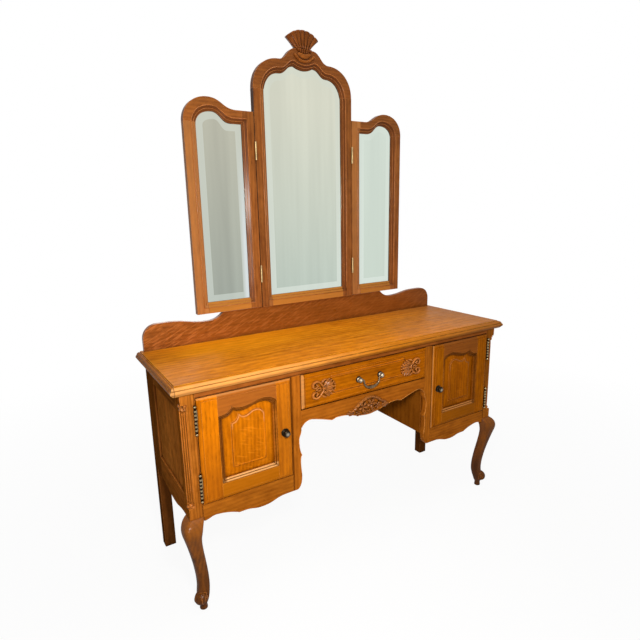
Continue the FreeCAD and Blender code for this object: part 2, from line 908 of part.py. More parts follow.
def drawer_back():
    half = drawer_side_outer() - drawer_side_thickness
    rear = front_back - drawer_box_length
    low = drawer_base() + drawer_bottom_rise + drawer_bottom_thickness
    return box(-half, half, rear, rear + drawer_side_thickness, low, drawer_base() + drawer_side_height)


def drawer_runner():
    top = drawer_base()
    inner = kneehole_half - runner_width
    return box(inner, kneehole_half, runner_rear, frame_back, top - runner_height, top)


def handle_post(clearance=0):
    """A handle boss: rose, post and a bolt through the drawer front. A clearance widens the bolt."""
    x = handle_spacing / 2
    head = front_face + handle_stand_off + handle_post_radius
    shank = handle_shank_radius + clearance
    profile = [
        (0, front_back),
        (shank, front_back),
        (shank, front_face),
        (handle_post_rose_radius, front_face),
        (handle_post_radius, front_face + handle_post_rose_height),
        (handle_post_radius, head),
        (0, head),
    ]
    post = turned_forward(x, handle_height, profile)
    pivot_start = at(x - handle_post_radius - overrun, front_face + handle_stand_off, handle_height)
    bore_radius = handle_pivot_radius + pin_clearance
    bore = cylinder(bore_radius, handle_pivot_length + overrun, pivot_start, rightward)
    return post.cut(bore)


def handle_bail():
    """A drop bail whose pivots turn in the bosses."""
    depth = front_face + handle_stand_off
    shoulder = handle_spacing / 2 - handle_post_radius - seat_gap
    arm = shoulder - handle_upper_bend
    bottom = handle_height - handle_drop + handle_rod_radius
    bend_via = handle_upper_bend * (1 - round_via_share)
    low_via = handle_lower_bend * (1 - round_via_share)
    start = (shoulder, handle_height)
    bend_low = handle_height - handle_upper_bend
    bend_point = (arm + bend_via, handle_height - bend_via)
    steps = [
        (bend_point, (arm, bend_low)),
        ((arm, bottom + handle_lower_bend),),
        ((arm - low_via, bottom + low_via), (arm - handle_lower_bend, bottom)),
        ((-arm + handle_lower_bend, bottom),),
        ((-arm + low_via, bottom + low_via), (-arm, bottom + handle_lower_bend)),
        ((-arm, bend_low),),
        ((-bend_point[0], bend_point[1]), (-shoulder, handle_height)),
    ]
    edges = wire(start, steps, lambda x, z: at(x, depth, z)).Edges[:-1]
    path = Part.Wire(edges)
    end = at(shoulder, depth, handle_height)
    section = Part.Wire([Part.makeCircle(handle_rod_radius, end, rightward)])
    bail = path.makePipeShell([section], True, False)
    pivot = cylinder(handle_pivot_radius, handle_pivot_length, end, rightward)
    return bail.fuse(pivot).fuse(mirrored(pivot)).removeSplitter()


def center_outline():
    steps = [
        ((mirror_half_width, mirror_low),),
        ((mirror_half_width, center_spring),),
        corner((mirror_half_width, center_spring), (center_shoulder_half, center_shoulder)),
        wave((center_shoulder_half, center_shoulder), (center_crest_half, center_crest)),
        ((0, center_crest),),
    ]
    return (0, mirror_low), symmetric((0, mirror_low), steps)


def center_sight(grow):
    """The glass opening of the centre frame, grown all round for the rebate or the glass."""
    half = mirror_half_width - mirror_stile_width + grow
    low = mirror_low + mirror_rail_width - grow
    shoulder = (center_sight_shoulder_half, center_sight_shoulder + grow)
    cusp = (center_cusp_half, center_sight_cusp + grow)
    lobe_via = (center_cusp_half / 2, (3 * center_sight_lobe + center_sight_cusp) / 4 + grow)
    steps = [
        ((half, low),),
        ((half, center_sight_spring),),
        corner((half, center_sight_spring), shoulder),
        wave(shoulder, cusp),
        (lobe_via, (0, center_sight_lobe + grow)),
    ]
    return (0, low), symmetric((0, low), steps)


def wing_inner():
    return mirror_half_width + running_gap


def wing_base():
    return mirror_low + running_gap


def wing_outline():
    x0 = wing_inner()
    x1 = x0 + wing_width
    bump = (x0 + wing_bump, wing_high)
    steps = [
        ((x1, wing_base()),),
        ((x1, wing_spring),),
        corner((x1, wing_spring), bump),
        wave(bump, (x0 + wing_flat, wing_low)),
        ((x0, wing_low),),
    ]
    return (x0, wing_base()), steps


def wing_sight(grow):
    x0 = wing_inner() + mirror_stile_width - grow
    x1 = wing_inner() + wing_width - mirror_stile_width + grow
    low = wing_base() + mirror_rail_width - running_gap - grow
    inner_top = wing_low - wing_sight_drop + grow
    bump = (x0 + wing_sight_bump_share * (x1 - x0), wing_high - wing_sight_drop + grow)
    flat = (x0 + wing_sight_flat_share * (x1 - x0), inner_top)
    steps = [
        ((x1, low),),
        ((x1, wing_sight_spring),),
        corner((x1, wing_sight_spring), bump),
        wave(bump, flat),
        ((x0, inner_top),),
    ]
    return (x0, low), steps


def mirror_frame(outline, sight):
    """A whole frame with its glass opening and the rebate behind it, before it is parted at its joints."""
    frame = front_prism(*outline, 0, frame_depth)
    frame = frame.cut(front_prism(*sight(0), -overrun, frame_depth + overrun))
    frame = frame.cut(front_prism(*sight(rebate_width), -overrun, frame_depth - mirror_lip))
    step = frame_depth - sight_splay_step
    frame = frame.cut(front_prism(*sight(sight_splay_width), step, frame_depth + overrun))
    return frame.cut(splay(sight(0), frame_depth - sight_splay_drop, sight(sight_splay_width), step))


def mirror_glass(sight):
    front = frame_depth - mirror_lip
    return front_prism(*sight(rebate_width - glass_gap), front - glass_thickness, front)


def mirror_backing(sight):
    front = frame_depth - mirror_lip - glass_thickness
    return front_prism(*sight(rebate_width - glass_gap), front - glass_back_thickness, front)


def center_mirror():
    frame = mirror_frame(center_outline(), center_sight)
    depths = (-overrun, frame_depth + overrun)
    inner = mirror_half_width - mirror_stile_width
    outer = mirror_half_width + overrun
    middle = (mirror_low + center_spring) / 2
    stile = frame.common(box(inner, outer, *depths, mirror_low, center_spring)).cut(screws(screw_clearance))
    top = frame.common(box(-outer, outer, *depths, center_spring, center_crest))
    low = frame.common(box(-inner, inner, *depths, mirror_low, middle))
    return group(stile, mirrored(stile)), group(low, top)


def wing_mirror():
    frame = mirror_frame(wing_outline(), wing_sight)
    depths = (-overrun, frame_depth + overrun)
    inner_line = wing_inner() + mirror_stile_width
    outer_line = wing_inner() + wing_width - mirror_stile_width
    outer = wing_inner() + wing_width + overrun
    middle = (wing_base() + wing_spring) / 2
    inner_stile = frame.common(box(wing_inner() - overrun, inner_line, *depths, wing_base(), wing_high))
    outer_stile = frame.common(box(outer_line, outer, *depths, wing_base(), wing_spring))
    low = frame.common(box(inner_line, outer_line, *depths, wing_base(), middle))
    top = frame.common(box(inner_line, outer, *depths, middle, wing_high))
    top = top.cut(outer_stile)
    return group(inner_stile, outer_stile), group(low, top)


def finial():
    """A fan of rounded lobes that stands on the crest of the centre frame."""
    steps = [((fan_neck_half, center_crest),)]
    tip_angle = fan_half_angle

    def ray(radius, angle):
        return (radius * math.sin(angle), fan_center + radius * math.cos(angle))

    tip = ray(fan_valley, tip_angle)
    waist = (fan_neck_half, (center_crest + tip[1]) / 2)
    flare = ((fan_neck_half + tip[0]) / 2, tip[1])
    steps.append((waist, flare, tip))
    pitch = 2 * fan_half_angle / fan_lobes
    for lobe in range(fan_lobes):
        start = tip_angle - lobe * pitch
        steps.append((ray(fan_radius, start - pitch / 2), ray(fan_valley, start - pitch)))
    steps.append(((-flare[0], flare[1]), (-waist[0], waist[1]), (-fan_neck_half, center_crest)))
    rim = (frame_depth - fan_thickness) / 2
    return front_prism((-fan_neck_half, center_crest), steps, rim, rim + fan_thickness)


def wing_hinge(level, moving):
    """Half of a butt hinge between two frames: its pin and end knuckles, or its middle knuckle."""
    x = mirror_half_width + running_gap / 2
    depth = frame_depth + wing_hinge_reach
    third = wing_hinge_length / 3
    low = level - wing_hinge_length / 2
    high = low + wing_hinge_length
    rear = frame_depth - wing_leaf_depth
    if moving:
        leaf_x = (wing_inner() - wing_leaf_thickness, wing_inner())
        z0 = low + third + wing_knuckle_gap
        z1 = high - third - wing_knuckle_gap
        solid = cylinder(wing_hinge_radius, z1 - z0, at(x, depth, z0), up)
        solid = solid.fuse(box(*leaf_x, rear, depth, z0, z1))
        solid = solid.fuse(box(*leaf_x, rear, frame_depth, low, high))
        bore = wing_hinge_pin_radius + pin_clearance
        return solid.cut(cylinder(bore, wing_hinge_length, at(x, depth, low), up))
    leaf_x = (mirror_half_width, mirror_half_width + wing_leaf_thickness)
    solid = cylinder(wing_hinge_pin_radius, wing_hinge_length, at(x, depth, low), up)
    for z0 in (low, high - third):
        solid = solid.fuse(cylinder(wing_hinge_radius, third, at(x, depth, z0), up))
        solid = solid.fuse(box(*leaf_x, rear, depth, z0, z0 + third))
    return solid.fuse(box(*leaf_x, rear, frame_depth, low, high))


def support():
    x = mirror_half_width - mirror_stile_width / 2
    half = support_width / 2
    batten = box(x - half, x + half, -support_thickness, 0, support_bottom, support_top)
    return batten.cut(screws(screw_clearance))


def screws(clearance=0):
    """All screws of the mirror supports, put in from behind. A clearance widens them for their holes."""
    solids = []
    x = mirror_half_width - mirror_stile_width / 2
    for level in support_screw_levels:
        start = at(x, -support_thickness, level)
        radius = screw_radius + clearance
        head = Part.makeCone(screw_head_radius + clearance, radius, screw_head_height, start, forward)
        screw = head.fuse(cylinder(radius, screw_length, start, forward)).removeSplitter()
        solids += [screw, mirrored(screw)]
    return group(*solids)


def both_sides(nodes, name, shape):
    """Adds a right-hand piece and its mirror image under one name pattern."""
    nodes[name.format("right")] = shape
    nodes[name.format("left")] = mirrored(shape)


def case_nodes(nodes):
    nodes["table_top"] = table_top()
    nodes["backboard"] = backboard()
    both_sides(nodes, "front_{}_post", front_post())
    both_sides(nodes, "front_{}_leg", front_leg())
    both_sides(nodes, "rear_{}_post", rear_post())
    both_sides(nodes, "inner_{}_post", inner_post())
    both_sides(nodes, "{}_door_apron", door_apron())
    both_sides(nodes, "{}_side_rails", side_rails())
    both_sides(nodes, "{}_side_panel", side_groove())
    both_sides(nodes, "{}_inner_side", inner_side())
    nodes["front_top_rail"] = box(-post_inner, post_inner, frame_back, face_depth, top_rail_low, slab_bottom)
    nodes["rear_top_rail"] = rear_top_rail()
    nodes["kneehole_apron"] = kneehole_apron()
    nodes["cabinet_floors"] = group(cabinet_floor(), mirrored(cabinet_floor()))
    nodes["back_panels"] = back_panels()
    nodes["drawer_runners"] = group(drawer_runner(), mirrored(drawer_runner()))
    nodes["door_catches"] = group(door_catch(), mirrored(door_catch()))


def drawer_nodes(nodes):
    nodes["drawer_front"] = drawer_front()
    nodes["drawer_sides"] = drawer_sides()
    nodes["drawer_back"] = drawer_back()
    nodes["drawer_bottom"] = drawer_bottom()
    nodes["handle_posts"] = group(handle_post(), mirrored(handle_post()))
    nodes["handle_bail"] = handle_bail()


def door_nodes(nodes):
    stiles, rails = door_frame()
    both_sides(nodes, "{}_door_stiles", stiles)
    both_sides(nodes, "{}_door_rails", rails)
    both_sides(nodes, "{}_door_panel", door_panel())
    both_sides(nodes, "{}_door_knob", knob())
    both_sides(nodes, "{}_door_hinge_sleeves", group(*[hinge_sleeve(level) for level in hinge_levels]))
    pins = [hinge_pin(level) for level in hinge_levels]
    nodes["door_hinge_pins"] = group(*pins, *[mirrored(pin) for pin in pins])


def mirror_nodes(nodes):
    nodes["center_mirror_stiles"], nodes["center_mirror_rails"] = center_mirror()
    nodes["center_mirror_glass"] = mirror_glass(center_sight)
    nodes["center_mirror_back"] = mirror_backing(center_sight)
    nodes["finial"] = finial()
    nodes["mirror_supports"] = group(support(), mirrored(support()))
    nodes["support_screws"] = screws()
    stiles, rails = wing_mirror()
    both_sides(nodes, "{}_wing_stiles", stiles)
    both_sides(nodes, "{}_wing_rails", rails)
    both_sides(nodes, "{}_wing_glass", mirror_glass(wing_sight))
    both_sides(nodes, "{}_wing_back", mirror_backing(wing_sight))
    sleeves = [wing_hinge(level, True) for level in wing_hinge_levels]
    both_sides(nodes, "{}_wing_hinge_sleeves", group(*sleeves))
    pins = [wing_hinge(level, False) for level in wing_hinge_levels]
    nodes["wing_hinge_pins"] = group(*pins, *[mirrored(pin) for pin in pins])


nodes = {}
case_nodes(nodes)
drawer_nodes(nodes)
door_nodes(nodes)
mirror_nodes(nodes)
os.makedirs("parts", exist_ok=True)
for name, shape in nodes.items():
    shape.exportStep("parts/" + name + ".step")
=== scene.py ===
import cmath
import json
import math

import bpy
import numpy as np
from mathutils import Matrix, Vector


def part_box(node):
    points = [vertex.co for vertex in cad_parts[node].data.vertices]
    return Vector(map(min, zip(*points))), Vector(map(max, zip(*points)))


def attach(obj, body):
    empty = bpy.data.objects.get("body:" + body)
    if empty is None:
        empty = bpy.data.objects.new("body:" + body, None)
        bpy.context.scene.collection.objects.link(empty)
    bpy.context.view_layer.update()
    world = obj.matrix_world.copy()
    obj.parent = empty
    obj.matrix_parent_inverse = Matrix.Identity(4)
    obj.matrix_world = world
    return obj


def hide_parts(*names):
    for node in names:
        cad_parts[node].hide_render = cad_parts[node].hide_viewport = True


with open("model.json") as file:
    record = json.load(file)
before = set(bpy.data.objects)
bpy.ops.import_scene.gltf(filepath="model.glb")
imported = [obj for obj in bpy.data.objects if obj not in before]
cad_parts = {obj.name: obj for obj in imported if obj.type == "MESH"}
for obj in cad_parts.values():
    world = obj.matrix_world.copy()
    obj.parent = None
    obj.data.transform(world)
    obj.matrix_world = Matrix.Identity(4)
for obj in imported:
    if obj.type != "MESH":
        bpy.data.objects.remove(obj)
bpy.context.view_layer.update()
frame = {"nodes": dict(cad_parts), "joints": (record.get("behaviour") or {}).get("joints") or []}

MM = 0.001
SIDES = {"left": -1, "right": 1}


def corners(node):
    """A node's lowest and highest corners, in mm."""
    return [[value / MM for value in corner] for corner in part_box(node)]


JOINTS = {joint["name"]: joint for joint in frame["joints"]}


# Node trees

class Graph:
    """The nodes of a material or world. An input is a socket to link or a plain value."""

    def __init__(self, owner):
        owner.use_nodes = True
        self.owner = owner
        self.tree = owner.node_tree
        self.tree.nodes.clear()

    def outputs(self, kind, inputs, **settings):
        node = self.tree.nodes.new("ShaderNode" + kind)
        for key, value in settings.items():
            setattr(node, key, value)
        for key, value in inputs.items():
            socket = node.inputs[key]
            if isinstance(value, bpy.types.NodeSocket):
                self.tree.links.new(value, socket)
            elif socket.type == "RGBA":
                socket.default_value = (*value, 1)
            else:
                socket.default_value = value
        return node.outputs

    def add(self, kind, inputs, out=0, **settings):
        return self.outputs(kind, inputs, **settings)[out]

    def axes(self):
        """The object's own coordinates in metres, as a vector and as x, y and z."""
        place = self.add("TexCoord", {}, out="Object")
        return place, self.outputs("SeparateXYZ", {0: place})

    def math(self, operation, a, b=0):
        return self.add("Math", {0: a, 1: b}, operation=operation)

    def span(self, value, low, high, to_low=0, to_high=1):
        """A value brought from one range to another, and held inside it."""
        inputs = {"Value": value, "From Min": low, "From Max": high, "To Min": to_low, "To Max": to_high}
        return self.add("MapRange", inputs, clamp=True)

    def mix(self, factor, a, b, blend="MIX"):
        return self.add("Mix", {0: factor, 6: a, 7: b}, out=2, data_type="RGBA", blend_type=blend)

    def darken(self, color, shade):
        gray = self.add("CombineColor", {0: shade, 1: shade, 2: shade})
        return self.mix(1, color, gray, "MULTIPLY")

    def vector(self, operation, a, b, out=0):
        return self.add("VectorMath", {0: a, 1: b}, out=out, operation=operation)

    def noise(self, vector, scales, detail=2, rough=0.55):
        stretched = self.vector("MULTIPLY", vector, scales)
        return self.add("TexNoise", {"Vector": stretched, "Scale": 1, "Detail": detail, "Roughness": rough})

    def close(self, shader, kind="Material"):
        self.outputs("Output" + kind, {"Surface": shader})

    def finish(self, **sockets):
        """Close a material with the principled shader, whose sockets are named with _ for a space."""
        inputs = {key.replace("_", " "): value for key, value in sockets.items()}
        self.close(self.add("BsdfPrincipled", inputs))
        return self.owner


def brightened(color, gain, lift):
    return [min(1, gain * c + lift) for c in color]


def edges(g, radius):
    """How close a point is to a sharp edge, from 0 to 1."""
    rounded = g.add("Bevel", {"Radius": radius}, samples=4)
    normal = g.add("NewGeometry", {}, out="Normal")
    straight = g.vector("DOT_PRODUCT", rounded, normal, out="Value")
    return g.span(straight, 0.995, 0.86)


def crevices(g, distance, low):
    """1 on open surfaces, falling to low in narrow recesses."""
    shade = g.add("AmbientOcclusion", {"Distance": distance}, out="AO", samples=6)
    return g.span(shade, 0.25, 0.9, low, 1)


# Oak

# Noise scales along and across the grain, detail and roughness
GRAIN = {
    "fibre": (16, 380, 3, 0.55),
    "streak": (4.6, 27, 2, 0.5),
    "mottle": (24, 58, 3, 0.6),
    "broad": (1.6, 6.5, 3, 0.55),
    "pore": (48, 1300, 1, 0.55),
    "patch": (4, 12, 2, 0.55),
}
TONE_SHARES = {"ring": 0.1, "fibre": 0.26, "streak": 0.42, "mottle": 0.56, "broad": 0.55}
SEED_SHIFT = (0.37, 0.071, 0.113)
PITH = (0, 0.16, 0.07)
RINGS = {"Scale": 27, "Distortion": 7, "Detail": 3, "Detail Scale": 0.22}
RED_CAST = (0.92, 0.7, 0.52)
LINE_SHADE = (0.2, 0.15, 0.12)
# Radius of the lighter sharp edges, rubbing and painted highlight
WORN_AND_LIT_EDGE = 0.0028


def along_grain(g, grain, kind):
    along, across, detail, rough = GRAIN[kind]
    return g.noise(grain, (along, across, across), detail, rough)


def grain_space(g, along, seed):
    """Coordinates along and across the grain, shifted for each board and slightly wavy."""
    grain = g.add("CombineXYZ", {0: along[0], 1: along[1], 2: along[2]})
    grain = g.vector("ADD", grain, [seed * shift for shift in SEED_SHIFT])
    slow = g.vector("MULTIPLY", grain, (1.5, 6, 6))
    drift = g.add("TexNoise", {"Vector": slow, "Scale": 1, "Detail": 2}, out="Color")
    return g.vector("ADD", grain, g.vector("MULTIPLY", drift, (0, 0.03, 0.03)))


def figure(g, grain, dark, light, red):
    """The board's color, and its fibres and pores alone."""
    pith = g.vector("ADD", g.vector("MULTIPLY", grain, (0.07, 1, 1)), PITH)
    ring = g.add("TexWave", {"Vector": pith, **RINGS}, out="Fac", wave_type="RINGS", rings_direction="X")
    layers = {kind: along_grain(g, grain, kind) for kind in TONE_SHARES if kind in GRAIN}
    layers["ring"] = ring
    tone = 0
    for kind, share in TONE_SHARES.items():
        tone = g.math("ADD", tone, g.math("MULTIPLY", layers[kind], share))
    color = g.mix(g.span(tone, 0.72, 1.14), dark, light)
    warmth = g.math("MULTIPLY", g.span(layers["broad"], 0.35, 0.7), red)
    color = g.mix(warmth, color, RED_CAST, "MULTIPLY")
    pore = g.span(along_grain(g, grain, "pore"), 0.6, 0.7)
    pore = g.math("MULTIPLY", pore, g.span(ring, 0.65, 0.2))
    color = g.mix(g.math("MULTIPLY", pore, 0.6), color, brightened(dark, 0.35, 0))
    return color, layers["fibre"], pore


def ray_flecks(g, color, grain, along, light, share, lean, cover):
    """Bright flecks across the grain, in patches. lean slants them, and cover spreads them."""
    slant = g.math("ADD", along[0], g.math("MULTIPLY", along[2], lean))
    across = g.add("CombineXYZ", {0: slant, 1: along[1], 2: along[2]})
    steep = max(1, abs(lean))
    ray = g.noise(across, (120 / steep, 20 * steep, 20 * steep), 2, 0.6)
    ray = g.span(ray, 0.54 - cover, 0.66 - cover)
    patch = g.span(along_grain(g, grain, "patch"), 0.42 - 3 * cover, 0.6 - 3 * cover)
    amount = g.math("MULTIPLY", g.math("MULTIPLY", ray, patch), share)
    return g.mix(amount, color, brightened(light, 1.45, 0.012))


def tinted(g, color, axes, bands, lines):
    """Ranges and lines of another color, in the forms that oak() names."""
    for axis, start, end, share, tint, *limits in bands:
        amount = g.span(axes[axis], start, end, 0, share)
        for other, outer, inner in limits:
            amount = g.math("MULTIPLY", amount, g.span(axes[other], outer, inner))
        color = g.mix(amount, color, tint)
    for axis, middle, half, share, *tint in lines:
        away = g.math("ABSOLUTE", g.math("SUBTRACT", axes[axis], middle))
        amount = g.span(away, half, 0.5 * half, 0, share)
        if tint:
            color = g.mix(amount, color, tint[0])
        else:
            color = g.mix(amount, color, LINE_SHADE, "MULTIPLY")
    return color


def oak(name, dark, light, axis, seed, red=0.5, rough=0.4, coat=0, shine=0.02, recess=0.02, low=0.3,
        wear=1, fleck=0, lean=0.35, cover=0, bands=(), lines=()):
    """Varnished oak with its grain along an axis. Sharp edges are lighter, partly from rubbing and partly as
    a painted highlight, and recesses are darker as painted shade, as far and as deep as recess and low say.
    bands are (axis, from, to, share, color) ranges in metres, limited by any (axis, outer, inner) after them.
    lines are (axis, middle, half width, share) dark lines, or lines of a color where a fifth value gives one.
    Axis ax is the distance from the middle of the table."""
    g = Graph(bpy.data.materials.new(name))
    place, (x, y, z) = g.axes()
    along = {"x": (x, y, z), "y": (y, x, z), "z": (z, y, x)}[axis]
    grain = grain_space(g, along, seed)
    color, fibre, pore = figure(g, grain, dark, light, red)
    if fleck:
        color = ray_flecks(g, color, grain, along, light, fleck, lean, cover)
    axes = {"x": x, "y": y, "z": z, "ax": g.math("ABSOLUTE", x)}
    color = tinted(g, color, axes, bands, lines)
    patchy = g.noise(place, (26, 26, 26), 3)
    # Lighter on sharp edges: partly rubbing, partly a painted highlight
    worn_and_lit = g.math("MULTIPLY", edges(g, WORN_AND_LIT_EDGE), g.span(patchy, 0.36, 0.62, 0.25 * wear, 0.9 * wear))
    color = g.mix(worn_and_lit, color, brightened(light, 1.45, 0.03))
    # Painted shade: darker in recesses
    color = g.darken(color, crevices(g, recess, low))
    gloss = g.span(patchy, 0.3, 0.7, rough - 0.05, rough + 0.07)
    gloss = g.math("ADD", gloss, g.math("MULTIPLY", pore, 0.2))
    height = g.math("SUBTRACT", g.math("MULTIPLY", fibre, 0.35), pore)
    normal = g.add("Bump", {"Strength": 0.16, "Distance": 0.0005, "Height": height})
    return g.finish(Base_Color=color, Roughness=gloss, Normal=normal, Specular_IOR_Level=shine,
                    Coat_Weight=coat, Coat_Roughness=0.21)


# Dark and light color of each kind of oak
TONES = {
    "top": ((0.42, 0.116, 0.002), (0.83, 0.298, 0.012)),
    "frame": ((0.3, 0.082, 0.005), (0.56, 0.176, 0.014)),
    "panel": ((0.39, 0.1, 0.001), (0.78, 0.228, 0.003)),
    "red": ((0.24, 0.064, 0.008), (0.5, 0.152, 0.026)),
    "side": ((0.22, 0.072, 0.01), (0.54, 0.184, 0.03)),
    "post": ((0.28, 0.082, 0.007), (0.6, 0.198, 0.024)),
    "leg": ((0.115, 0.034, 0.003), (0.4, 0.12, 0.008)),
    "mirror": ((0.19, 0.056, 0.009), (0.42, 0.142, 0.026)),
    "carved": ((0.27, 0.074, 0.005), (0.72, 0.25, 0.04)),
    "fan": ((0.085, 0.024, 0.005), (0.24, 0.074, 0.014)),
    "inner": ((0.24, 0.115, 0.04), (0.46, 0.26, 0.11)),
}
SEED_STEPS = {tone: 40 if tone == "inner" else 7 * len(tone) for tone in TONES}
boards = {}


def wood(tone, axis, dim=1, **settings):
    """A fresh oak for each board, so that no two show the same figure. dim scales its colors."""
    number = boards.get(tone, 0) + 1
    boards[tone] = number
    name = f"oak_{tone}_{axis}_{number}"
    dark, light = (brightened(color, dim, 0) for color in TONES[tone])
    return oak(name, dark, light, axis, number + SEED_STEPS[tone], **settings)


# Metal and mirror glass

def metal(name, color, dark, rough, recess=0.006, turned=None):
    """Handled metal with tarnish, bright rubbed edges and fine scratches. turned is a turned piece's
    (axis, x, other, dull, worn_and_lit, end): its axis, and the radii where it is dark, bright and at its
    end.
    On a turned piece the bright part is a painted highlight, also rubbing on a knob's crown, and the bright
    and the dark take the place of the tarnish and edges."""
    g = Graph(bpy.data.materials.new(name))
    place, (x, y, z) = g.axes()
    cloud = g.noise(place, (60, 60, 60), 4)
    fine = g.noise(place, (900, 900, 140), 2)
    tarnish = g.math("MULTIPLY", crevices(g, recess, 0), g.span(cloud, 0.3, 0.62, 0.45, 1))
    tone = g.mix(tarnish, dark, color)
    bright = brightened(color, 1.2, 0.05)
    tone = g.mix(g.math("MULTIPLY", edges(g, 0.0008), 0.6), tone, bright)
    if turned:
        axis, axis_x, axis_other, dull, worn_and_lit, end = turned
        across = g.math("SUBTRACT", g.math("ABSOLUTE", x), axis_x)
        beside = g.math("SUBTRACT", y if axis == "z" else z, axis_other)
        squares = g.math("ADD", g.math("MULTIPLY", across, across), g.math("MULTIPLY", beside, beside))
        reach = g.math("SQRT", squares)
        tone = g.mix(g.span(reach, dull, worn_and_lit), dark, bright)
        tone = g.mix(g.span(reach, end, 1.1 * end), tone, dark)
    gloss = g.math("ADD", g.span(cloud, 0.3, 0.7, rough, rough + 0.12), g.math("MULTIPLY", fine, 0.08))
    normal = g.add("Bump", {"Strength": 0.05, "Distance": 0.0003, "Height": fine})
    return g.finish(Base_Color=tone, Metallic=1, Roughness=gloss, Normal=normal)


# Heights over which the glass tone rises, a painted reflection
REFLECTION_RANGE = (0.93, 1.66)
GLEAM_RANGE = (1.5, 1.15)
SPECKS = (0.42, 0.43, 0.38)
GLEAM = (0.74, 0.79, 0.81)


def silvered(name, low, high, haze=0.5, gleam=None):
    """Old mirror glass with clouds and specks, its tone rising from low to high up the glass as a painted
    reflection. gleam is a range of x where a bevel catches light.
    """
    g = Graph(bpy.data.materials.new(name))
    place, (x, y, z) = g.axes()
    cloud = g.noise(place, (17, 17, 0.9), 2)
    speck = g.span(g.noise(place, (240, 240, 240), 2), 0.7, 0.8)
    tone = g.mix(g.span(z, *REFLECTION_RANGE), low, high)
    tone = g.darken(tone, g.span(cloud, 0.32, 0.68, 1 - 0.1 * haze, 1))
    tone = g.mix(g.math("MULTIPLY", speck, 0.2), tone, SPECKS)
    if gleam:
        caught = g.math("MULTIPLY", g.span(x, *gleam, 0, 0.75), g.span(z, *GLEAM_RANGE))
        tone = g.mix(caught, tone, GLEAM)
    return g.finish(Base_Color=tone, Metallic=1, Roughness=g.span(cloud, 0.3, 0.7, 0.015, 0.04))


HINGE = JOINTS["right_door_swing"]["pos_m"]
PULL = JOINTS["handle_swing"]["pos_m"]
KNOB = [(low + high) / 2 for low, high in zip(*corners("right_door_knob"))]
BOSS_X = 48
brass = metal("brass_bright", (0.56, 0.41, 0.19), (0.07, 0.04, 0.02), 0.24, 0.003)
# Hinges: painted highlights on the bead crests, dark between them
aged_brass_glints = metal("brass_aged_painted_glints", (0.29, 0.205, 0.085), (0.008, 0.005, 0.003), 0.16, 0.007,
                   ("z", HINGE[0], HINGE[1], 0.004, 0.0045, 0.006))
# Knob: a bright crown, partly rubbing and partly a painted highlight, dark towards its rim
knob_bronze = metal("bronze_knob", (0.3, 0.25, 0.18), (0.02, 0.014, 0.008), 0.22, 0.01,
                    ("y", KNOB[0] * MM, KNOB[2] * MM, 0.008, 0.0015, 0.02))
bronze = metal("bronze_antique", (0.22, 0.15, 0.085), (0.014, 0.008, 0.004), 0.2, 0.008)
# Bosses: a painted highlight on the dome, dark on the flange
pewter = metal("pewter_painted_highlight", (0.36, 0.3, 0.21), (0.03, 0.02, 0.012), 0.18, 0.01,
               ("y", BOSS_X * MM, PULL[2], 0.0092, 0.0048, 0.02))
steel = metal("steel_zinc", (0.52, 0.53, 0.54), (0.14, 0.14, 0.14), 0.34)
# Glass and bevel tones are painted reflections: darker on the left wing, lighter on the bevels
GLASS = {
    "left": silvered("mirror_left", (0.4, 0.44, 0.385), (0.54, 0.53, 0.43), 1.4),
    "center": silvered("mirror_center", (0.53, 0.61, 0.54), (0.71, 0.72, 0.6), 1),
    "right": silvered("mirror_right", (0.61, 0.7, 0.62), (0.66, 0.735, 0.655)),
}
BEVELS = {
    "left": silvered("bevel_left", (0.54, 0.59, 0.53), (0.61, 0.625, 0.535), gleam=(-0.29, -0.276)),
    "center": silvered("bevel_center", (0.66, 0.73, 0.66), (0.68, 0.705, 0.6)),
    "right": silvered("bevel_right", (0.69, 0.77, 0.7), (0.67, 0.745, 0.665)),
}


# Finish of the CAD nodes

WELD = 0.00002
EASED_EDGE = 0.0011
FLAT_ANGLE = math.radians(0.4)
SHARP_ANGLE = math.radians(35)


def modify(node, kind, **settings):
    made = node.modifiers.new(kind.lower(), kind)
    for key, value in settings.items():
        setattr(made, key, value)


def dress(name, look, eased=True):
    """Give a node its material and, where wanted, eased edges."""
    node = frame["nodes"][name]
    node.data.materials.clear()
    node.data.materials.append(look)
    modify(node, "WELD", merge_threshold=WELD)
    if eased:
        modify(node, "DECIMATE", decimate_type="DISSOLVE", angle_limit=FLAT_ANGLE)
        modify(node, "BEVEL", width=EASED_EDGE, segments=2, limit_method="ANGLE", angle_limit=SHARP_ANGLE)
    modify(node, "WEIGHTED_NORMAL", keep_sharp=True)


# Metalwork, and unvarnished insides and backs with the axis of their grain

HINGE_METAL = {"door": aged_brass_glints, "wing": brass}
INSIDES = {
    "rear_top_rail": "x", "cabinet_floors": "y", "back_panels": "z", "drawer_runners": "y",
    "center_mirror_back": "z", "mirror_supports": "z", "drawer_sides": "y", "drawer_back": "x",
    "drawer_bottom": "x", "left_wing_back": "z", "right_wing_back": "z",
}
for kind, look in HINGE_METAL.items():
    for name in (f"{kind}_hinge_pins", f"left_{kind}_hinge_sleeves", f"right_{kind}_hinge_sleeves"):
        dress(name, look, eased=False)
for name in ("door_catches", "support_screws"):
    dress(name, steel, eased=False)
for name, axis in INSIDES.items():
    dress(name, wood("inner", axis, red=0.2, rough=0.62, recess=0.05, low=0.45))


# Case: bands and lines are places in metres, as oak() says

# Color of the painted highlights on lips and edges
PAINTED_HIGHLIGHT = (0.86, 0.46, 0.17)
GOLDEN = (0.56, 0.165, 0.001)
BROWN = (0.22, 0.07, 0.014)
# Dark brown of the painted shade on the door sticking
SHADE_TONE = (0.13, 0.034, 0.003)
TOP_LIP = (-0.213, -0.2165)
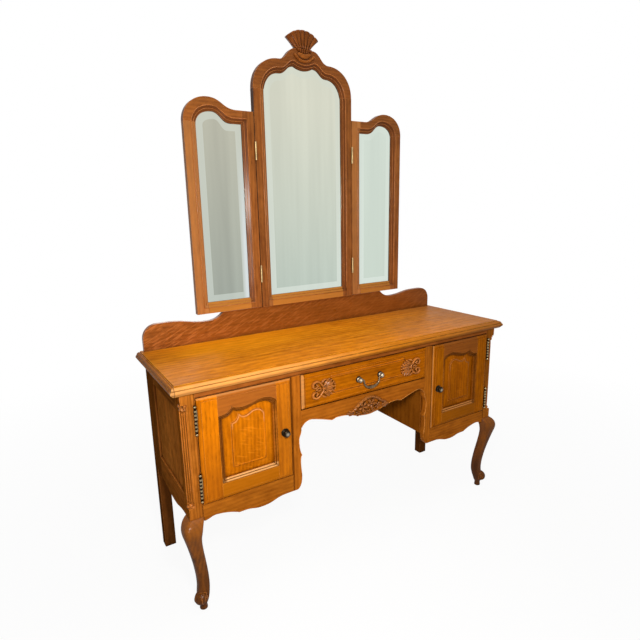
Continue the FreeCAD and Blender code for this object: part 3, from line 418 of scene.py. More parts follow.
# Painted light and shade on the top: shade towards both ends, deepest on the end faces; a painted highlight
# on the front lip at the left and shade on it further right; painted shade with a greyish sheen over the
# right; a painted pool of light at the back left
TOP_BANDS = [
    ("ax", 0.5, 0.7, 0.3, BROWN),
    ("ax", 0.694, 0.697, 0.62, BROWN),
    ("y", *TOP_LIP, 0.42, PAINTED_HIGHLIGHT, ("x", 0.1, -0.45)),
    ("y", *TOP_LIP, 0.55, (0.4, 0.13, 0.012), ("x", -0.3, 0.1)),
    ("x", 0.15, 0.6, 0.42, (0.4, 0.16, 0.05)),
    ("x", 0.1, -0.25, 0.4, (0.95, 0.36, 0.006), ("y", -0.06, 0.1), ("x", -0.66, -0.5)),
]
# Dark lines painted as the shade of grooves in the edge moulding, round the edge and near the ends
TOP_LINES = [("z", 0.7682, 0.0018, 0.85), ("ax", 0.6965, 0.0016, 0.7)]
BOARD_SHADE = ("x", -0.6, -0.25, 0.5, (0.2, 0.056, 0.004))
POST_LINES = [("ax", 0.6375, 0.004, 0.6), ("ax", 0.6565, 0.0014, 0.45), ("ax", 0.6475, 0.0014, 0.35)]
REAR_FOOT = ("z", 0.42, 0.25, 0.55, (0.1, 0.03, 0.008))
# Painted shadow cast by the left door's edge on the post beside it
DOOR_EDGE_SHADOW = ("x", -0.3165, 0.005, 0.75)
RAIL_SHADOW = ("z", 0.7285, 0.005, 0.85)
dress("table_top", wood("top", "x", shine=0.03, recess=0.008, low=0.15, bands=TOP_BANDS, lines=TOP_LINES))
dress("backboard", wood("red", "x", 0.78, red=0.4, rough=0.3, shine=0.1, fleck=0.6, lean=-2, cover=0.04,
                        bands=[BOARD_SHADE]))
dress("front_top_rail", wood("red", "x", lines=[RAIL_SHADOW]))
dress("inner_left_post", wood("frame", "z", wear=0.4, lines=[DOOR_EDGE_SHADOW]))
dress("inner_right_post", wood("frame", "z", wear=0.6))
for side in SIDES:
    dress(f"front_{side}_post", wood("post", "z", shine=0, recess=0.01, lines=POST_LINES))
    dress(f"rear_{side}_post", wood("side", "z", 0.66, shine=0, bands=[REAR_FOOT]))
    dress(side + "_door_apron", wood("frame", "x", wear=0.3))
for side in SIDES:
    dress(side + "_side_rails", wood("side", "y", shine=0))
for side in SIDES:
    dress(side + "_side_panel", wood("side", "z", 1.6, shine=0, fleck=0.2))
dress("left_inner_side", wood("side", "z", shine=0))
dress("right_inner_side", wood("frame", "z", 0.62, shine=0))
dress("kneehole_apron", wood("frame", "x", 0.94, wear=0.4))


# Mirror frames

LIT = (0.6, 0.255, 0.075)
# Painted shade on the inner moulding of every frame
MOULDING = ("y", 0.1958, 0.1972, 0.7, (0.13, 0.034, 0.005))
CREST_SHADE = ("z", 1.68, 1.77, 0.4, (0.11, 0.028, 0.004))
FOOT_LIT = ("z", 0.936, 0.93, 0.6, (0.62, 0.255, 0.038))
WING_GAPS = [("x", -0.218, 0.0034, 0.85), ("x", 0.218, 0.0022, 0.55)]
CENTER_LIT = ("x", -0.18, 0.01, 0.3, LIT)
WING_LIT = {
    "left": [("x", -0.444, 0.01, 0.6, LIT), ("x", -0.472, 0.024, 0.4, LIT)],
    "right": [("x", 0.256, 0.01, 0.6, LIT), ("x", 0.236, 0.024, 0.4, LIT)],
}
stile_lines = [CENTER_LIT] + WING_GAPS
dress("center_mirror_stiles", wood("mirror", "z", 0.86, coat=0.2, bands=[MOULDING], lines=stile_lines))
dress("center_mirror_rails", wood("mirror", "x", coat=0.2, bands=[MOULDING, CREST_SHADE, FOOT_LIT]))
for side in SIDES:
    stile_lines = WING_LIT[side] + WING_GAPS
    dress(side + "_wing_stiles", wood("mirror", "z", coat=0.2, bands=[MOULDING], lines=stile_lines))
    dress(side + "_wing_rails", wood("mirror", "x", coat=0.2, bands=[MOULDING, FOOT_LIT]))


# Drawer front and door frames

# A painted highlight on the drawer's left lip
DRAWER_LIP = ("x", -0.27, -0.2716, 0.38, PAINTED_HIGHLIGHT)
DRAWER_EDGE = ("ax", 0.2675, 0.0014, 0.55)
# The right door's woods painted darker than the left's as shade, and the painted highlight on its lip fainter
DOOR_SHADE_GAIN = {"left": 0.95, "right": 0.74}
DOOR_LIP_LIGHT = {"left": 0.25, "right": 0.06}
TOP_RAIL_SHADE = ("z", 0.63, 0.66, 0.46, (0.33, 0.1, 0.022))
# Painted light, a golden tone, low on the doors' bottom rails
BOTTOM_RAIL_LIT = ("z", 0.44, 0.434, 0.6)
# Left: darker over the lock stile, and darker and redder towards the foot of the hinge stile. Right: a
# painted highlight on the lock stile's edge
STILE_BANDS = {
    "left": [("x", -0.378, -0.366, 0.2, (0.2, 0.07, 0.02)),
             ("z", 0.62, 0.45, 0.42, (0.29, 0.067, 0.006), ("ax", 0.5, 0.56))],
    "right": [("x", 0.324, 0.322, 0.3, PAINTED_HIGHLIGHT)],
}
dress("drawer_front", wood("panel", "x", 0.78, recess=0.01, low=0.15, bands=[DRAWER_LIP],
                           lines=[DRAWER_EDGE]))
for side, dim in DOOR_SHADE_GAIN.items():
    # A painted highlight along each door's top lip, painted light on its bottom rail and shade on its top
    # rail
    lip = ("z", 0.7212, 0.7228, DOOR_LIP_LIGHT[side], PAINTED_HIGHLIGHT)
    golden = (*BOTTOM_RAIL_LIT, brightened(GOLDEN, dim, 0))
    stile_bands = [lip] + STILE_BANDS[side]
    rail_bands = [TOP_RAIL_SHADE, golden, lip]
    dress(side + "_door_stiles", wood("panel", "z", dim, red=0.3, recess=0.01, low=0.15, bands=stile_bands))
    dress(side + "_door_rails", wood("frame", "x", 0.98 * dim, recess=0.01, low=0.15, bands=rail_bands))
    dress(side + "_door_panel", wood("panel", "z", dim ** 1.3, fleck=0.28, recess=0.008, low=0.12))


# Meshes: sizes in mm, points in metres

def at(x, y, z):
    """A point given in mm."""
    return Vector((x, y, z)) * MM


def placed(name, data):
    made = bpy.data.objects.new(name, data)
    bpy.context.scene.collection.objects.link(made)
    return made


def mesh_object(name, parts, look):
    """A mesh out of points and faces, placed in the scene."""
    verts, faces = parts
    mesh = bpy.data.meshes.new(name)
    mesh.from_pydata([tuple(v) for v in verts], [], [tuple(f) for f in faces])
    mesh.validate()
    mesh.materials.append(look)
    return placed(name, mesh)


def piece(name, parts, look, body, replaces=None):
    """A smooth mesh attached to a body, hiding the CAD part that it replaces."""
    made = mesh_object(name, parts, look)
    made.data.shade_smooth()
    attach(made, body)
    if replaces:
        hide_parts(replaces)
    return made


def merged(parts):
    """One list of points and faces out of several."""
    verts, faces = [], []
    for some_verts, some_faces in parts:
        base = len(verts)
        verts += list(some_verts)
        faces += [tuple(base + i for i in face) for face in some_faces]
    return verts, faces


def mirrored(parts):
    """Parts on the other side of the table."""
    verts, faces = parts
    return [Vector((-v[0], v[1], v[2])) for v in verts], [face[::-1] for face in faces]


HANDS = {"left": mirrored, "right": lambda parts: parts}


def both(parts):
    return merged([mirrored(parts), parts])


def grid_faces(rows, columns):
    """Faces between rows of points, each of columns + 1 points."""
    corner_steps = (0, 1, columns + 2, columns + 1)
    starts = [row * (columns + 1) + column for row in range(rows) for column in range(columns)]
    return [tuple(start + step for step in corner_steps) for start in starts]


def rings(loops):
    """Faces between closed loops of equal length, and over both ends."""
    count = len(loops[0])
    last = (len(loops) - 1) * count
    verts = [v for loop in loops for v in loop]
    faces = []
    for base in range(0, last, count):
        for i in range(count):
            j = (i + 1) % count
            faces.append((base + i, base + j, base + count + j, base + count + i))
    faces.append(tuple(range(count))[::-1])
    faces.append(tuple(range(last, last + count)))
    return verts, faces


def circle(centre, side, other, radius, segments):
    """Points in metres on a circle about a centre in mm."""
    loop = []
    for i in range(segments):
        angle = math.tau * i / segments
        loop.append((centre + (side * math.cos(angle) + other * math.sin(angle)) * radius) * MM)
    return loop


LEAST_RADIUS = 0.02


def lathe(profile, origin, axis, segments=40):
    """A turned form: (radius, height) pairs along an axis from an origin."""
    axis = Vector(axis).normalized()
    side = axis.orthogonal().normalized()
    other = axis.cross(side)
    return rings([circle(Vector(origin) + axis * height, side, other, max(radius, LEAST_RADIUS), segments)
                  for radius, height in profile])


def tube(points, radii, segments=10):
    """A rod along points, with one radius or a radius at each of them."""
    points = [Vector(p) for p in points]
    if not isinstance(radii, list):
        radii = [radii] * len(points)
    loops = []
    side = None
    for i, point in enumerate(points):
        tangent = (points[min(i + 1, len(points) - 1)] - points[max(i - 1, 0)]).normalized()
        side = side - tangent * side.dot(tangent) if side else tangent.orthogonal()
        side.normalize()
        loops.append(circle(point, side, tangent.cross(side), radii[i], segments))
    return rings(loops)


def smooth(points, count):
    """A Catmull-Rom curve through rows of numbers."""
    rows = np.array(points, float)
    if len(rows) == 1:
        return rows
    padded = np.vstack([2 * rows[0] - rows[1], rows, 2 * rows[-1] - rows[-2]])
    out = []
    for t in np.linspace(0, len(rows) - 1, count):
        i = min(int(t), len(rows) - 2)
        f = t - i
        a, b, c, d = padded[i:i + 4]
        bend = (2 * a - 5 * b + 4 * c - d) * f ** 2 + (3 * b - a - 3 * c + d) * f ** 3
        out.append(0.5 * (2 * b + (c - a) * f + bend))
    return np.array(out)


# Carving

STROKE_STEP = 0.7
STROKE_RADIUS = 0.2
CUT_FLOOR = 0.05


def relief(strokes, place, step=0.8, sink=0.6):
    """Carving: rounded strokes of (u, v, radius, height) rows, joined to one surface over a grid.
    A negative height cuts a groove into what the other strokes raise."""
    raised, cut = [], []
    for stroke in strokes:
        rows = np.array(stroke, float)
        length = np.hypot(*np.diff(rows[:, :2], axis=0).T).sum() if len(rows) > 1 else 0
        rows = smooth(rows, max(2, int(length / STROKE_STEP) + 2))
        (cut if rows[0, 3] < 0 else raised).append(rows)
    every = np.vstack(raised)
    low = (every[:, :2] - every[:, 2:3]).min(axis=0) - 1.5 * step
    high = (every[:, :2] + every[:, 2:3]).max(axis=0) + 1.5 * step
    us = np.arange(low[0], high[0] + step, step)
    vs = np.arange(low[1], high[1] + step, step)
    grid_u, grid_v = np.meshgrid(us, vs, indexing="ij")

    def dome(u, v, radius):
        away = (grid_u - u) ** 2 + (grid_v - v) ** 2
        return np.clip(1 - away / max(radius, STROKE_RADIUS) ** 2, 0, 1)

    height = np.zeros_like(grid_u)
    for u, v, radius, top in every:
        height = np.maximum(height, top * np.sqrt(dome(u, v, radius)))
    if cut:
        depth = np.zeros_like(grid_u)
        for u, v, radius, top in np.vstack(cut):
            depth = np.maximum(depth, -top * dome(u, v, radius))
        height = np.where(height > 0, np.maximum(height - depth, CUT_FLOOR), 0)
    return grid_surface(grid_u, grid_v, height, place, sink)


def grid_surface(grid_u, grid_v, height, place, sink):
    """Faces over the raised cells of a grid, with a border that sinks below the ground."""
    filled = height > 0
    wide, tall = filled.shape
    grown = filled.copy()
    for i in range(3):
        for j in range(3):
            grown[1:-1, 1:-1] |= filled[i:wide - 2 + i, j:tall - 2 + j]
    height = np.where(filled, height, -sink)
    index = -np.ones(height.shape, int)
    index[grown] = np.arange(grown.sum())
    verts = [place(u, v, h) for u, v, h in zip(grid_u[grown], grid_v[grown], height[grown])]
    faces = []
    for i in range(wide - 1):
        for j in range(tall - 1):
            quad = (index[i, j], index[i + 1, j], index[i + 1, j + 1], index[i, j + 1])
            if min(quad) >= 0:
                faces.append(quad)
    return verts, faces


def spiral(u, v, outer, inner, start, turn, radius, height, count=18):
    """Rows of a scroll that winds in from outer to inner, angles in degrees."""
    rows = []
    for t in np.linspace(0, 1, count):
        point = ray(u, v, start + turn * t, outer + (inner - outer) * t)
        rows.append((*point, radius * (1 - 0.3 * t), height * (1 - 0.2 * t)))
    return rows


PETAL_SHARES = ((0.15, 0.35, 0.5), (0.5, 0.85, 0.9), (0.78, 1, 1), (1, 0.6, 0.6))
VEIN_SHARES = (0.25, 0.95)
VEIN_RADIUS = 1.2


def ray(u, v, angle, reach):
    """The point at a reach and an angle in degrees from a point."""
    return u + reach * math.cos(math.radians(angle)), v + reach * math.sin(math.radians(angle))


def petal(u, v, angle, length, radius, height):
    return [(*ray(u, v, angle, d * length), radius * r, height * h) for d, r, h in PETAL_SHARES]


def vein(u, v, angle, length, depth):
    return [(*ray(u, v, angle, d * length), VEIN_RADIUS, -depth) for d in VEIN_SHARES]


def leaf(u, v, angle, blade, cut):
    """A petal of (length, radius, height) with a vein of (length, depth)."""
    return [petal(u, v, angle, *blade), vein(u, v, angle, *cut)]


# Drawer front: carvings, bead lines and drop handle

DRAWER_LOW, DRAWER_HIGH = corners("drawer_front")
DRAWER_FRONT = DRAWER_LOW[1]
DRAWER_MIDDLE = (DRAWER_LOW[2] + DRAWER_HIGH[2]) / 2
CARVING_END = 245
CARVING_SCALE_U = 0.97
CARVING_SCALE_V = 0.95
LEAF_U = 52
LEAF_RIM = 46
LINE_HALF = 168
BEAD_LEVELS = (707, 699.5, 646.5, 639)
QUIRK_LEVELS = (703.2, 642.7)


def drawer_carving():
    """Two volutes, a knot and a leaf fan with a beaded rim, from the drawer's right end inwards."""
    strokes = []
    for s in SIDES.values():
        strokes += [
            [(50, 5 * s, 3.2, 6), (42, 15 * s, 4.2, 7.4), (33, 26 * s, 4.6, 8), (20, 31 * s, 4.8, 8.2),
             (8, 25 * s, 4.6, 8), (7, 13 * s, 4.2, 7.4), (17, 8 * s, 3.8, 6.8), (25, 14 * s, 3.6, 6.4),
             (20, 21 * s, 4.2, 7)],
            [(38, 4 * s, 4, 5.4), (29, 5 * s, 3.4, 5), (21, 1 * s, 2.6, 4)],
            [(50, 10 * s, 3.4, 5.6), (62, 22 * s, 6.2, 7.2), (72, 31 * s, 4, 5)],
            [(50, 10 * s, 1.3, -2.4), (72, 31 * s, 1.3, -2.4)],
            [(42, 24 * s, 2.6, 4.6), (50, 30 * s, 4.4, 5.8), (60, 33 * s, 2.8, 4.2)],
        ]
    for angle in range(-40, 41, 20):
        strokes += leaf(LEAF_U, 0, angle, (40, 6.6, 7), (37, 3))
    for angle in range(-48, 49, 16):
        u, v = ray(LEAF_U, 0, angle, LEAF_RIM)
        strokes.append([(u, 0.78 * v, 3.8, 6.4)])
    strokes.append([(50, 0, 6, 8)])

    def place(u, v, h):
        x = CARVING_END - CARVING_SCALE_U * u
        return at(x, DRAWER_FRONT - h, DRAWER_MIDDLE + CARVING_SCALE_V * v)
    return relief(strokes, place)


def drawer_lines(levels, radius, out):
    """Straight beads over the drawer, their middles a little out of its front."""
    ends = [[(s * LINE_HALF, DRAWER_FRONT - out, level) for s in SIDES.values()] for level in levels]
    return merged([tube(smooth(pair, 30), radius) for pair in ends])


carved_drawer = wood("carved", "x", recess=0.01, low=0.02, rough=0.26, coat=0.35, wear=0.4)
right_carving = drawer_carving()
piece("drawer_carving_right", right_carving, carved_drawer, "drawer")
piece("drawer_carving_left", mirrored(right_carving), carved_drawer, "drawer")
# Beads lighter than the drawer, a painted highlight on them
bead_look = wood("panel", "x", 0.95, rough=0.24, coat=0.1, recess=0.004, wear=0.35)
piece("drawer_bead_lines", drawer_lines(BEAD_LEVELS, 2.2, 0.2), bead_look, "drawer")
# Darker tubes that stand for the shade in the groove between each pair of beads: painted shade
quirk_look = wood("leg", "x", 1.5, rough=0.5)
piece("drawer_quirk_lines", drawer_lines(QUIRK_LEVELS, 1.9, -0.8), quirk_look, "drawer")

BAIL_Y = PULL[1] / MM
PULL_Z = PULL[2] / MM
OUTWARD = (0, -1, 0)
BOSS_PROFILE = [
    (0, -0.2), (11.4, -0.2), (11.8, 0.8), (10.6, 1.7), (7.6, 2.4), (5.6, 4), (4.8, 6.6), (5, 9.2),
    (6.6, 11.6), (8.6, 13.2), (8.9, 14.4), (8.2, 15.4), (6, 15.8), (5.4, 16.6), (5.2, 18), (3.6, 19.6),
    (0, 20.3)]
BAIL_HALF = [(41.5, 0), (37.5, -1), (34.6, -6), (33.4, -13), (29.5, -22), (21.5, -29), (11, -32.6)]
BAIL_FOOT = (0, -33.6)
BAIL_RINGS = (-8.4, -4.2, 0, 4.2, 8.4)
PIVOT = (40.5, 49.5)
PIVOT_RADIUS = 2.1


def bail():
    """A bow that swells to five rings in its middle, between two pivots."""
    other_half = [(-x, z) for x, z in BAIL_HALF[::-1]]
    points, radii = [], []
    for x, z in smooth(BAIL_HALF + [BAIL_FOOT] + other_half, 121):
        points.append((x, BAIL_Y, PULL_Z + z))
        swell = 3.6 + 1.8 * math.exp(-(x / 19) ** 2)
        ringed = sum(math.exp(-((x - middle) / 0.95) ** 2) for middle in BAIL_RINGS)
        radii.append(swell + 0.75 * ringed)
    pivot = tube([(x, BAIL_Y, PULL_Z) for x in PIVOT], PIVOT_RADIUS, 16)
    return merged([tube(points, radii, 18), both(pivot)])


boss = lathe(BOSS_PROFILE, (BOSS_X, DRAWER_FRONT, PULL_Z), OUTWARD)
piece("handle_bosses", both(boss), pewter, "drawer", "handle_posts")
piece("handle_bow", bail(), bronze, "handle_bail", "handle_bail")


# Kneehole apron: carved cartouche

APRON_LOW, APRON_HIGH = corners("kneehole_apron")
CASE_FRONT = APRON_LOW[1]
KNEE = APRON_HIGH[0]
CARTOUCHE_FOOT = APRON_LOW[2] + 1.5
CARTOUCHE_RIM = [
    (-82, 21, 3.4, 5.4), (-68, 27, 5, 8.2), (-54, 38, 5.8, 9.4), (-38, 50, 5.8, 9.4), (-19, 60, 5.4, 9),
    (3, 65, 5.2, 8.8), (25, 62, 5.4, 9), (44, 52, 5.6, 9.2), (60, 40, 5.2, 8.4), (80, 31, 3.4, 5.4)]
CARTOUCHE_FOOT_LEAF = [
    (-34, 5, 3, 5), (-14, 3, 3.6, 6.4), (0, 2.6, 3.8, 6.8), (14, 3, 3.6, 6.4), (34, 8, 3, 5)]
ROSETTES = ((-24, 33, 18), (13, 39, 18.5), (-3, 11, 10), (42, 26, 13), (-48, 14, 10))
SIDE_LEAVES = ((0, 34, 5.4), (20, 27, 4.6), (-18, 24, 4.4))
LEAF_ROOT = (60, 21)


def notches(rows, reach=8):
    """Cuts across a border, one in the middle of each of its stretches."""
    for (u0, v0, *_), (u1, v1, *_) in zip(rows[1:-1], rows[2:-1]):
        scale = reach / math.hypot(u1 - u0, v1 - v0)
        u, v = (u0 + u1) / 2, (v0 + v1) / 2
        du, dv = (v0 - v1) * scale, (u1 - u0) * scale
        yield [(u - du, v - dv, 1.7, -3.6), (u + du, v + dv, 1.7, -3.6)]


def apron_carving():
    """A mound of rosettes under a scrolled rim of lobes, with leaves to each side."""
    strokes = [CARTOUCHE_RIM, *notches(smooth(CARTOUCHE_RIM, 12))]
    for u, v, size in ROSETTES:
        strokes += [petal(u, v, 54 + 72 * k, size, 0.33 * size, 8.2) for k in range(5)]
        strokes.append([(u, v, 0.24 * size, 9.8)])
    for s in SIDES.values():
        root = (LEAF_ROOT[0] * s, LEAF_ROOT[1])
        for angle, length, width in SIDE_LEAVES:
            lean = angle if s > 0 else 180 - angle
            strokes += leaf(*root, lean, (length, width, 6.6), (0.9 * length, 2.4))
        strokes.append(spiral(22 * s, 14, 8, 2, 90, 300 * s, 3, 7))
    strokes.append(CARTOUCHE_FOOT_LEAF)
    return relief(strokes, lambda u, v, h: at(u, CASE_FRONT - h, CARTOUCHE_FOOT + v))


carved_apron = wood("carved", "x", 0.7, recess=0.012, low=0.02, rough=0.26, coat=0.35, wear=0.4)
piece("apron_carving", apron_carving(), carved_apron, "case")


# Outlines, in the same steps as the CAD's

def arc(a, b, c, ts):
    """Points on the arc from a over b to c."""
    a, b, c = (complex(*p) for p in (a, b, c))
    ratio = (c - a) / (b - a)
    centre = a + (b - a) * (ratio - abs(ratio) ** 2) / (ratio - ratio.conjugate())
    total = cmath.phase((c - centre) / (a - centre)) % math.tau
    if cmath.phase((b - centre) / (a - centre)) % math.tau > total:
        total -= math.tau
    points = [centre + (a - centre) * cmath.exp(1j * total * t) for t in ts]
    return [np.array((p.real, p.imag)) for p in points]


def follow(start, steps, count=24):
    """Points along steps of one (line), two (arc) or three (Bezier) points."""
    here = np.array(start, float)
    out = [here]
    ts = np.linspace(0, 1, count)[1:]
    for step in steps:
        marks = [here] + [np.array(p, float) for p in step]
        if len(marks) == 2:
            out += [marks[0] + (marks[1] - marks[0]) * t for t in ts]
        elif len(marks) == 3:
            out += arc(*marks, ts)
        else:
            a, b, c, d = marks
            out += [a * (1 - t)**3 + 3 * b * t * (1 - t)**2 + 3 * c * t**2 * (1 - t) + d * t**3 for t in ts]
        here = marks[-1]
    return out


def wave(start, end, hold=0.5):
    """A step that leaves and arrives level."""
    reach = (end[0] - start[0]) * hold
    return ((start[0] + reach, start[1]), (end[0] - reach, end[1]), end)


def shoulder(start, end, hold=0.58):
    """A step that leaves upright and arrives level."""
    lift = (end[1] - start[1]) * hold
    reach = (start[0] - end[0]) * hold
    return ((start[0], start[1] + lift), (end[0] + reach, end[1]), end)


def quarter(start, end):
    """A quarter of a round that leaves level and arrives upright."""
    share = math.sqrt(0.5)
    return ((start[0] + (end[0] - start[0]) * share, end[1] + (start[1] - end[1]) * share), end)


# Beads along the kneehole's edges

POST_LOW, POST_HIGH = corners("inner_right_post")
POST_WIDTH = POST_HIGH[0] - POST_LOW[0]
KNEE_SPRING = 540
APRON_CUSP = (0.568 * KNEE, 538)
APRON_BEND = (0.48 * KNEE, 543)
APRON_RISE = (0.69 * KNEE, 549.5)
APRON_ARCH = (0.84 * KNEE, 561)
SCALLOP_SHARES = (
    ((0, 0.88), (0.26, 0.9), (0.26, 0.8)), ((0.26, 0.7), (0.18, 0.62), (0, 0.56)),
    ((0.2, 0.53), (0.17, 0.42), (0.05, 0.22)))
BEAD_INSET = 1.6
BEAD_RADIUS = 1.5
BEAD_Y = CASE_FRONT - 0.2


def apron_edge():
    """The bead along the right half of the apron's lower edge."""
    foot = (0, APRON_LOW[2])
    steps = [wave(foot, APRON_BEND), wave(APRON_BEND, APRON_CUSP), (APRON_RISE, APRON_ARCH),
             quarter(APRON_ARCH, (KNEE, KNEE_SPRING))]
    return tube([(x, BEAD_Y, z + BEAD_INSET) for x, z in follow(foot, steps)], BEAD_RADIUS)


def scallop_edge():
    """The bead along the free edge of the right post beside the kneehole."""
    drop = KNEE_SPRING - POST_LOW[2]
    steps = [[(KNEE + POST_WIDTH * a, POST_LOW[2] + drop * b) for a, b in row] for row in SCALLOP_SHARES]
    outline = follow((KNEE, KNEE_SPRING), steps)
    return tube([(x + BEAD_INSET, BEAD_Y, z) for x, z in outline], BEAD_RADIUS)


knee_beads = both(merged([apron_edge(), scallop_edge()]))
# Lighter than the apron, a painted highlight on the beads
knee_look = wood("carved", "x", 1.1, rough=0.24, coat=0.1)
piece("apron_edge_bead", knee_beads, knee_look, "case")


# Doors: moulded beads round the panels, and turned knobs

DOOR_LOW, DOOR_HIGH = corners("right_door_rails")
DOOR_FRONT = DOOR_LOW[1]
BOTTOM_RAIL_HEIGHT = 53
TOP_RAIL_HEIGHT = 69
OGEE_RISE = 27
OGEE_SHARES = (
    ((0.12, 0), (0.2, 0.35), (0.228, 0.89)), ((0.27, 0.6), (0.33, 0.48), (0.39, 0.48)),
    ((0.52, 0.48), (0.62, 1), (0.762, 1)), ((0.87, 1), (0.95, 0.75), (1, 0.33)))


def door_bead(inset, top_inset, back, radius):
    """A bead inside the opening of the right door's frame, set back from its front."""
    hinge = DOOR_HIGH[0] - inset
    lock = DOOR_LOW[0] + inset
    low = DOOR_LOW[2] + BOTTOM_RAIL_HEIGHT + inset
    spring = DOOR_HIGH[2] - TOP_RAIL_HEIGHT - top_inset
    ogee = [[(hinge + a * (lock - hinge), spring + OGEE_RISE * b) for a, b in row] for row in OGEE_SHARES]
    outline = follow((lock, low), [((hinge, low),), ((hinge, spring),)] + ogee + [((lock, low),)], 20)
    return tube([(x, DOOR_FRONT + back, z) for x, z in outline], radius, 12)


sticking = merged([door_bead(3.4, 3.4, 3.7, 3.2), door_bead(9.8, 9.8, 7.3, 3.2)])
field_edge = door_bead(45.2, 36.2, 6.3, 2.6)
field_quirk = door_bead(41.6, 32.6, 9.6, 1.5)
# The right door's field edge painted darker as shade, and the painted highlights on its sticking fainter
FIELD_SHADE_GAIN = {"left": 1, "right": 0.6}
STICKING_LIGHT = {"left": 0.75, "right": 0.3}
# Painted shade on the sticking along the hinge stiles and under the top rails
STICKING_SHADE = [("ax", 0.553, 0.56, 0.72, SHADE_TONE), ("z", 0.628, 0.64, 0.72, SHADE_TONE)]
KNOB_PROFILE = [
    (0, -0.2), (13.4, -0.2), (14, 0.8), (13.2, 1.8), (11, 2.6), (9, 3.4), (7.6, 4.6), (7.2, 6),
    (8.2, 7.6), (10.4, 9.2), (12, 11.2), (12.4, 13.4), (11.8, 15.6), (10.2, 17.8), (7.6, 19.4), (4.2, 20.4),
    (0, 20.8)]


for side, hand in HANDS.items():
    light = STICKING_LIGHT[side]
    # A painted highlight along the bottom of the sticking
    sticking_look = wood("frame", "x", 0.9, recess=0.008, low=0.08, rough=0.24, coat=0.06, shine=0,
                         bands=[("z", 0.452, 0.446, light, PAINTED_HIGHLIGHT)] + STICKING_SHADE)
    piece(side + "_door_sticking", hand(sticking), sticking_look, side + "_door")
    # A painted highlight along the top of the field edge
    edge_look = wood("panel", "z", FIELD_SHADE_GAIN[side], recess=0.004, rough=0.24, coat=0.1, wear=0.25,
                     bands=[("z", 0.6, 0.616, 0.4 * light, (0.86, 0.42, 0.18))])
    piece(side + "_field_edge", hand(field_edge), edge_look, side + "_door")
    # A tube in the darker leg tone, set back, that stands for the shade at the foot of the field: painted
    # shade
    quirk_look = wood("leg", "z", 1.9, recess=0.004, shine=0)
    piece(side + "_field_quirk", hand(field_quirk), quirk_look, side + "_door")
knob = lathe(KNOB_PROFILE, (KNOB[0], DOOR_FRONT, KNOB[2]), OUTWARD)
for side, hand in HANDS.items():
    piece(side + "_knob_turned", hand(knob), knob_bronze, side + "_door", side + "_door_knob")


# Corner posts: carved stops and reeds on the chamfers

CORNER_LOW, CORNER_HIGH = corners("front_right_post")
CORNER = (CORNER_HIGH[0], CORNER_LOW[1])
CHAMFER = 18
DIAGONAL = math.sqrt(0.5)
ACROSS = Vector((DIAGONAL, DIAGONAL, 0))
OUT = Vector((DIAGONAL, -DIAGONAL, 0))
BERRIES = ((-7.6, 711, 6.4, 7.6), (7.6, 711, 6.4, 7.6), (0, 719, 4.6, 6))
STOP_LEAF = (0, 709)
FOOT_BERRY = (0, 386, 6, 6.4)
FOOT_LEAF = [(-9, 381, 4.6, 5.6), (0, 379, 4.6, 6), (9, 381, 4.6, 5.6)]
REEDS = (-10.6, -3.6, 3.6, 10.6)
REED_ENDS = (394, 692)
ARRIS_INSET = 0.6
ARRIS_LEVELS = (722, 735, 747)
CHAMFER_MIDDLE = Vector((CORNER[0] - CHAMFER / 2, CORNER[1] + CHAMFER / 2, 0))


def chamfer(u, v, h):
    """A place in mm on the right post's chamfer: u across it, v up and h out of it."""
    return CHAMFER_MIDDLE + ACROSS * u + OUT * h + Vector((0, 0, v))


def stops():
    """Three berries over a leaf at the chamfer's top, and a small leaf at its foot."""
    strokes = [[berry] for berry in BERRIES]
    for angle in (-90, -128, -52):
        strokes += leaf(*STOP_LEAF, angle, (15, 4.4, 5.6), (14, 2.2))
    strokes += [[FOOT_BERRY], FOOT_LEAF]
    return relief(strokes, lambda u, v, h: chamfer(u, v, h) * MM, 0.7)


def reeds():
    """Reeds between the chamfer's flutes, and the bead on the corner above it."""
    count = 40
    radii = [0.6 + 1.1 * math.sin(math.pi * i / (count - 1)) ** 0.25 for i in range(count)]
    parts = [tube([chamfer(u, v, 0.1) for v in np.linspace(*REED_ENDS, count)], radii) for u in REEDS]
    arris = [(CORNER[0] - ARRIS_INSET, CORNER[1] + ARRIS_INSET, level) for level in ARRIS_LEVELS]
    return merged(parts + [tube(arris, [1.3, 1.6, 1.6])])


carved_post = wood("carved", "z", recess=0.008, low=0.05, rough=0.26, coat=0.25, wear=0.5)
# A little lighter than the post, a painted highlight on the reeds and the corner bead
reed_look = wood("post", "z", 1.1, recess=0.004, rough=0.26, coat=0.06, wear=0.5)
right_stops = stops()
right_reeds = reeds()
for side, hand in HANDS.items():
    piece(side + "_post_carving", hand(right_stops), carved_post, "case")
    piece(side + "_post_reeds", hand(right_reeds), reed_look, "case")


# Front legs: a lofted knee and shank over a rolled toe

LEG_TOP = corners("front_right_leg")[1][2]
LEG_LEAN = 5
LEG_POINTS = 56
# Height, inset from the post's corner, half side and squareness
LEG_ROWS = [
    (26, 20.5, 15, 2.6), (42, 21, 18.6, 3), (60, 24.5, 19.6, 3), (85, 28, 19.4, 3),
    (120, 27, 19.4, 3), (160, 22.4, 19.8, 3), (190, 17.8, 20.4, 3), (220, 12.6, 21.3, 3.1),
    (250, 7.4, 22.9, 3.3), (274, 3.8, 25.2, 3.6), (291, 2.6, 28, 4), (305, 3.4, 29.6, 4.4),
    (318, 6.5, 29.6, 4.8), (328, 11.5, 28.6, 5.2), (335, 17, 26.2, 6), (339.6, 20.4, 23.2, 7),
    (341, 22, 21.4, 8)]
TOE_BACK = 16.5
TOE_HEIGHT = 46.5
PAD_BACK = 29
ROLL_HALF = [(21, 0), (20, 7.2), (17, 12.4), (12, 16), (6, 17.8), (0, 18.2)]
ROLL_PROFILE = [(radius, -height) for radius, height in ROLL_HALF[:0:-1]] + ROLL_HALF
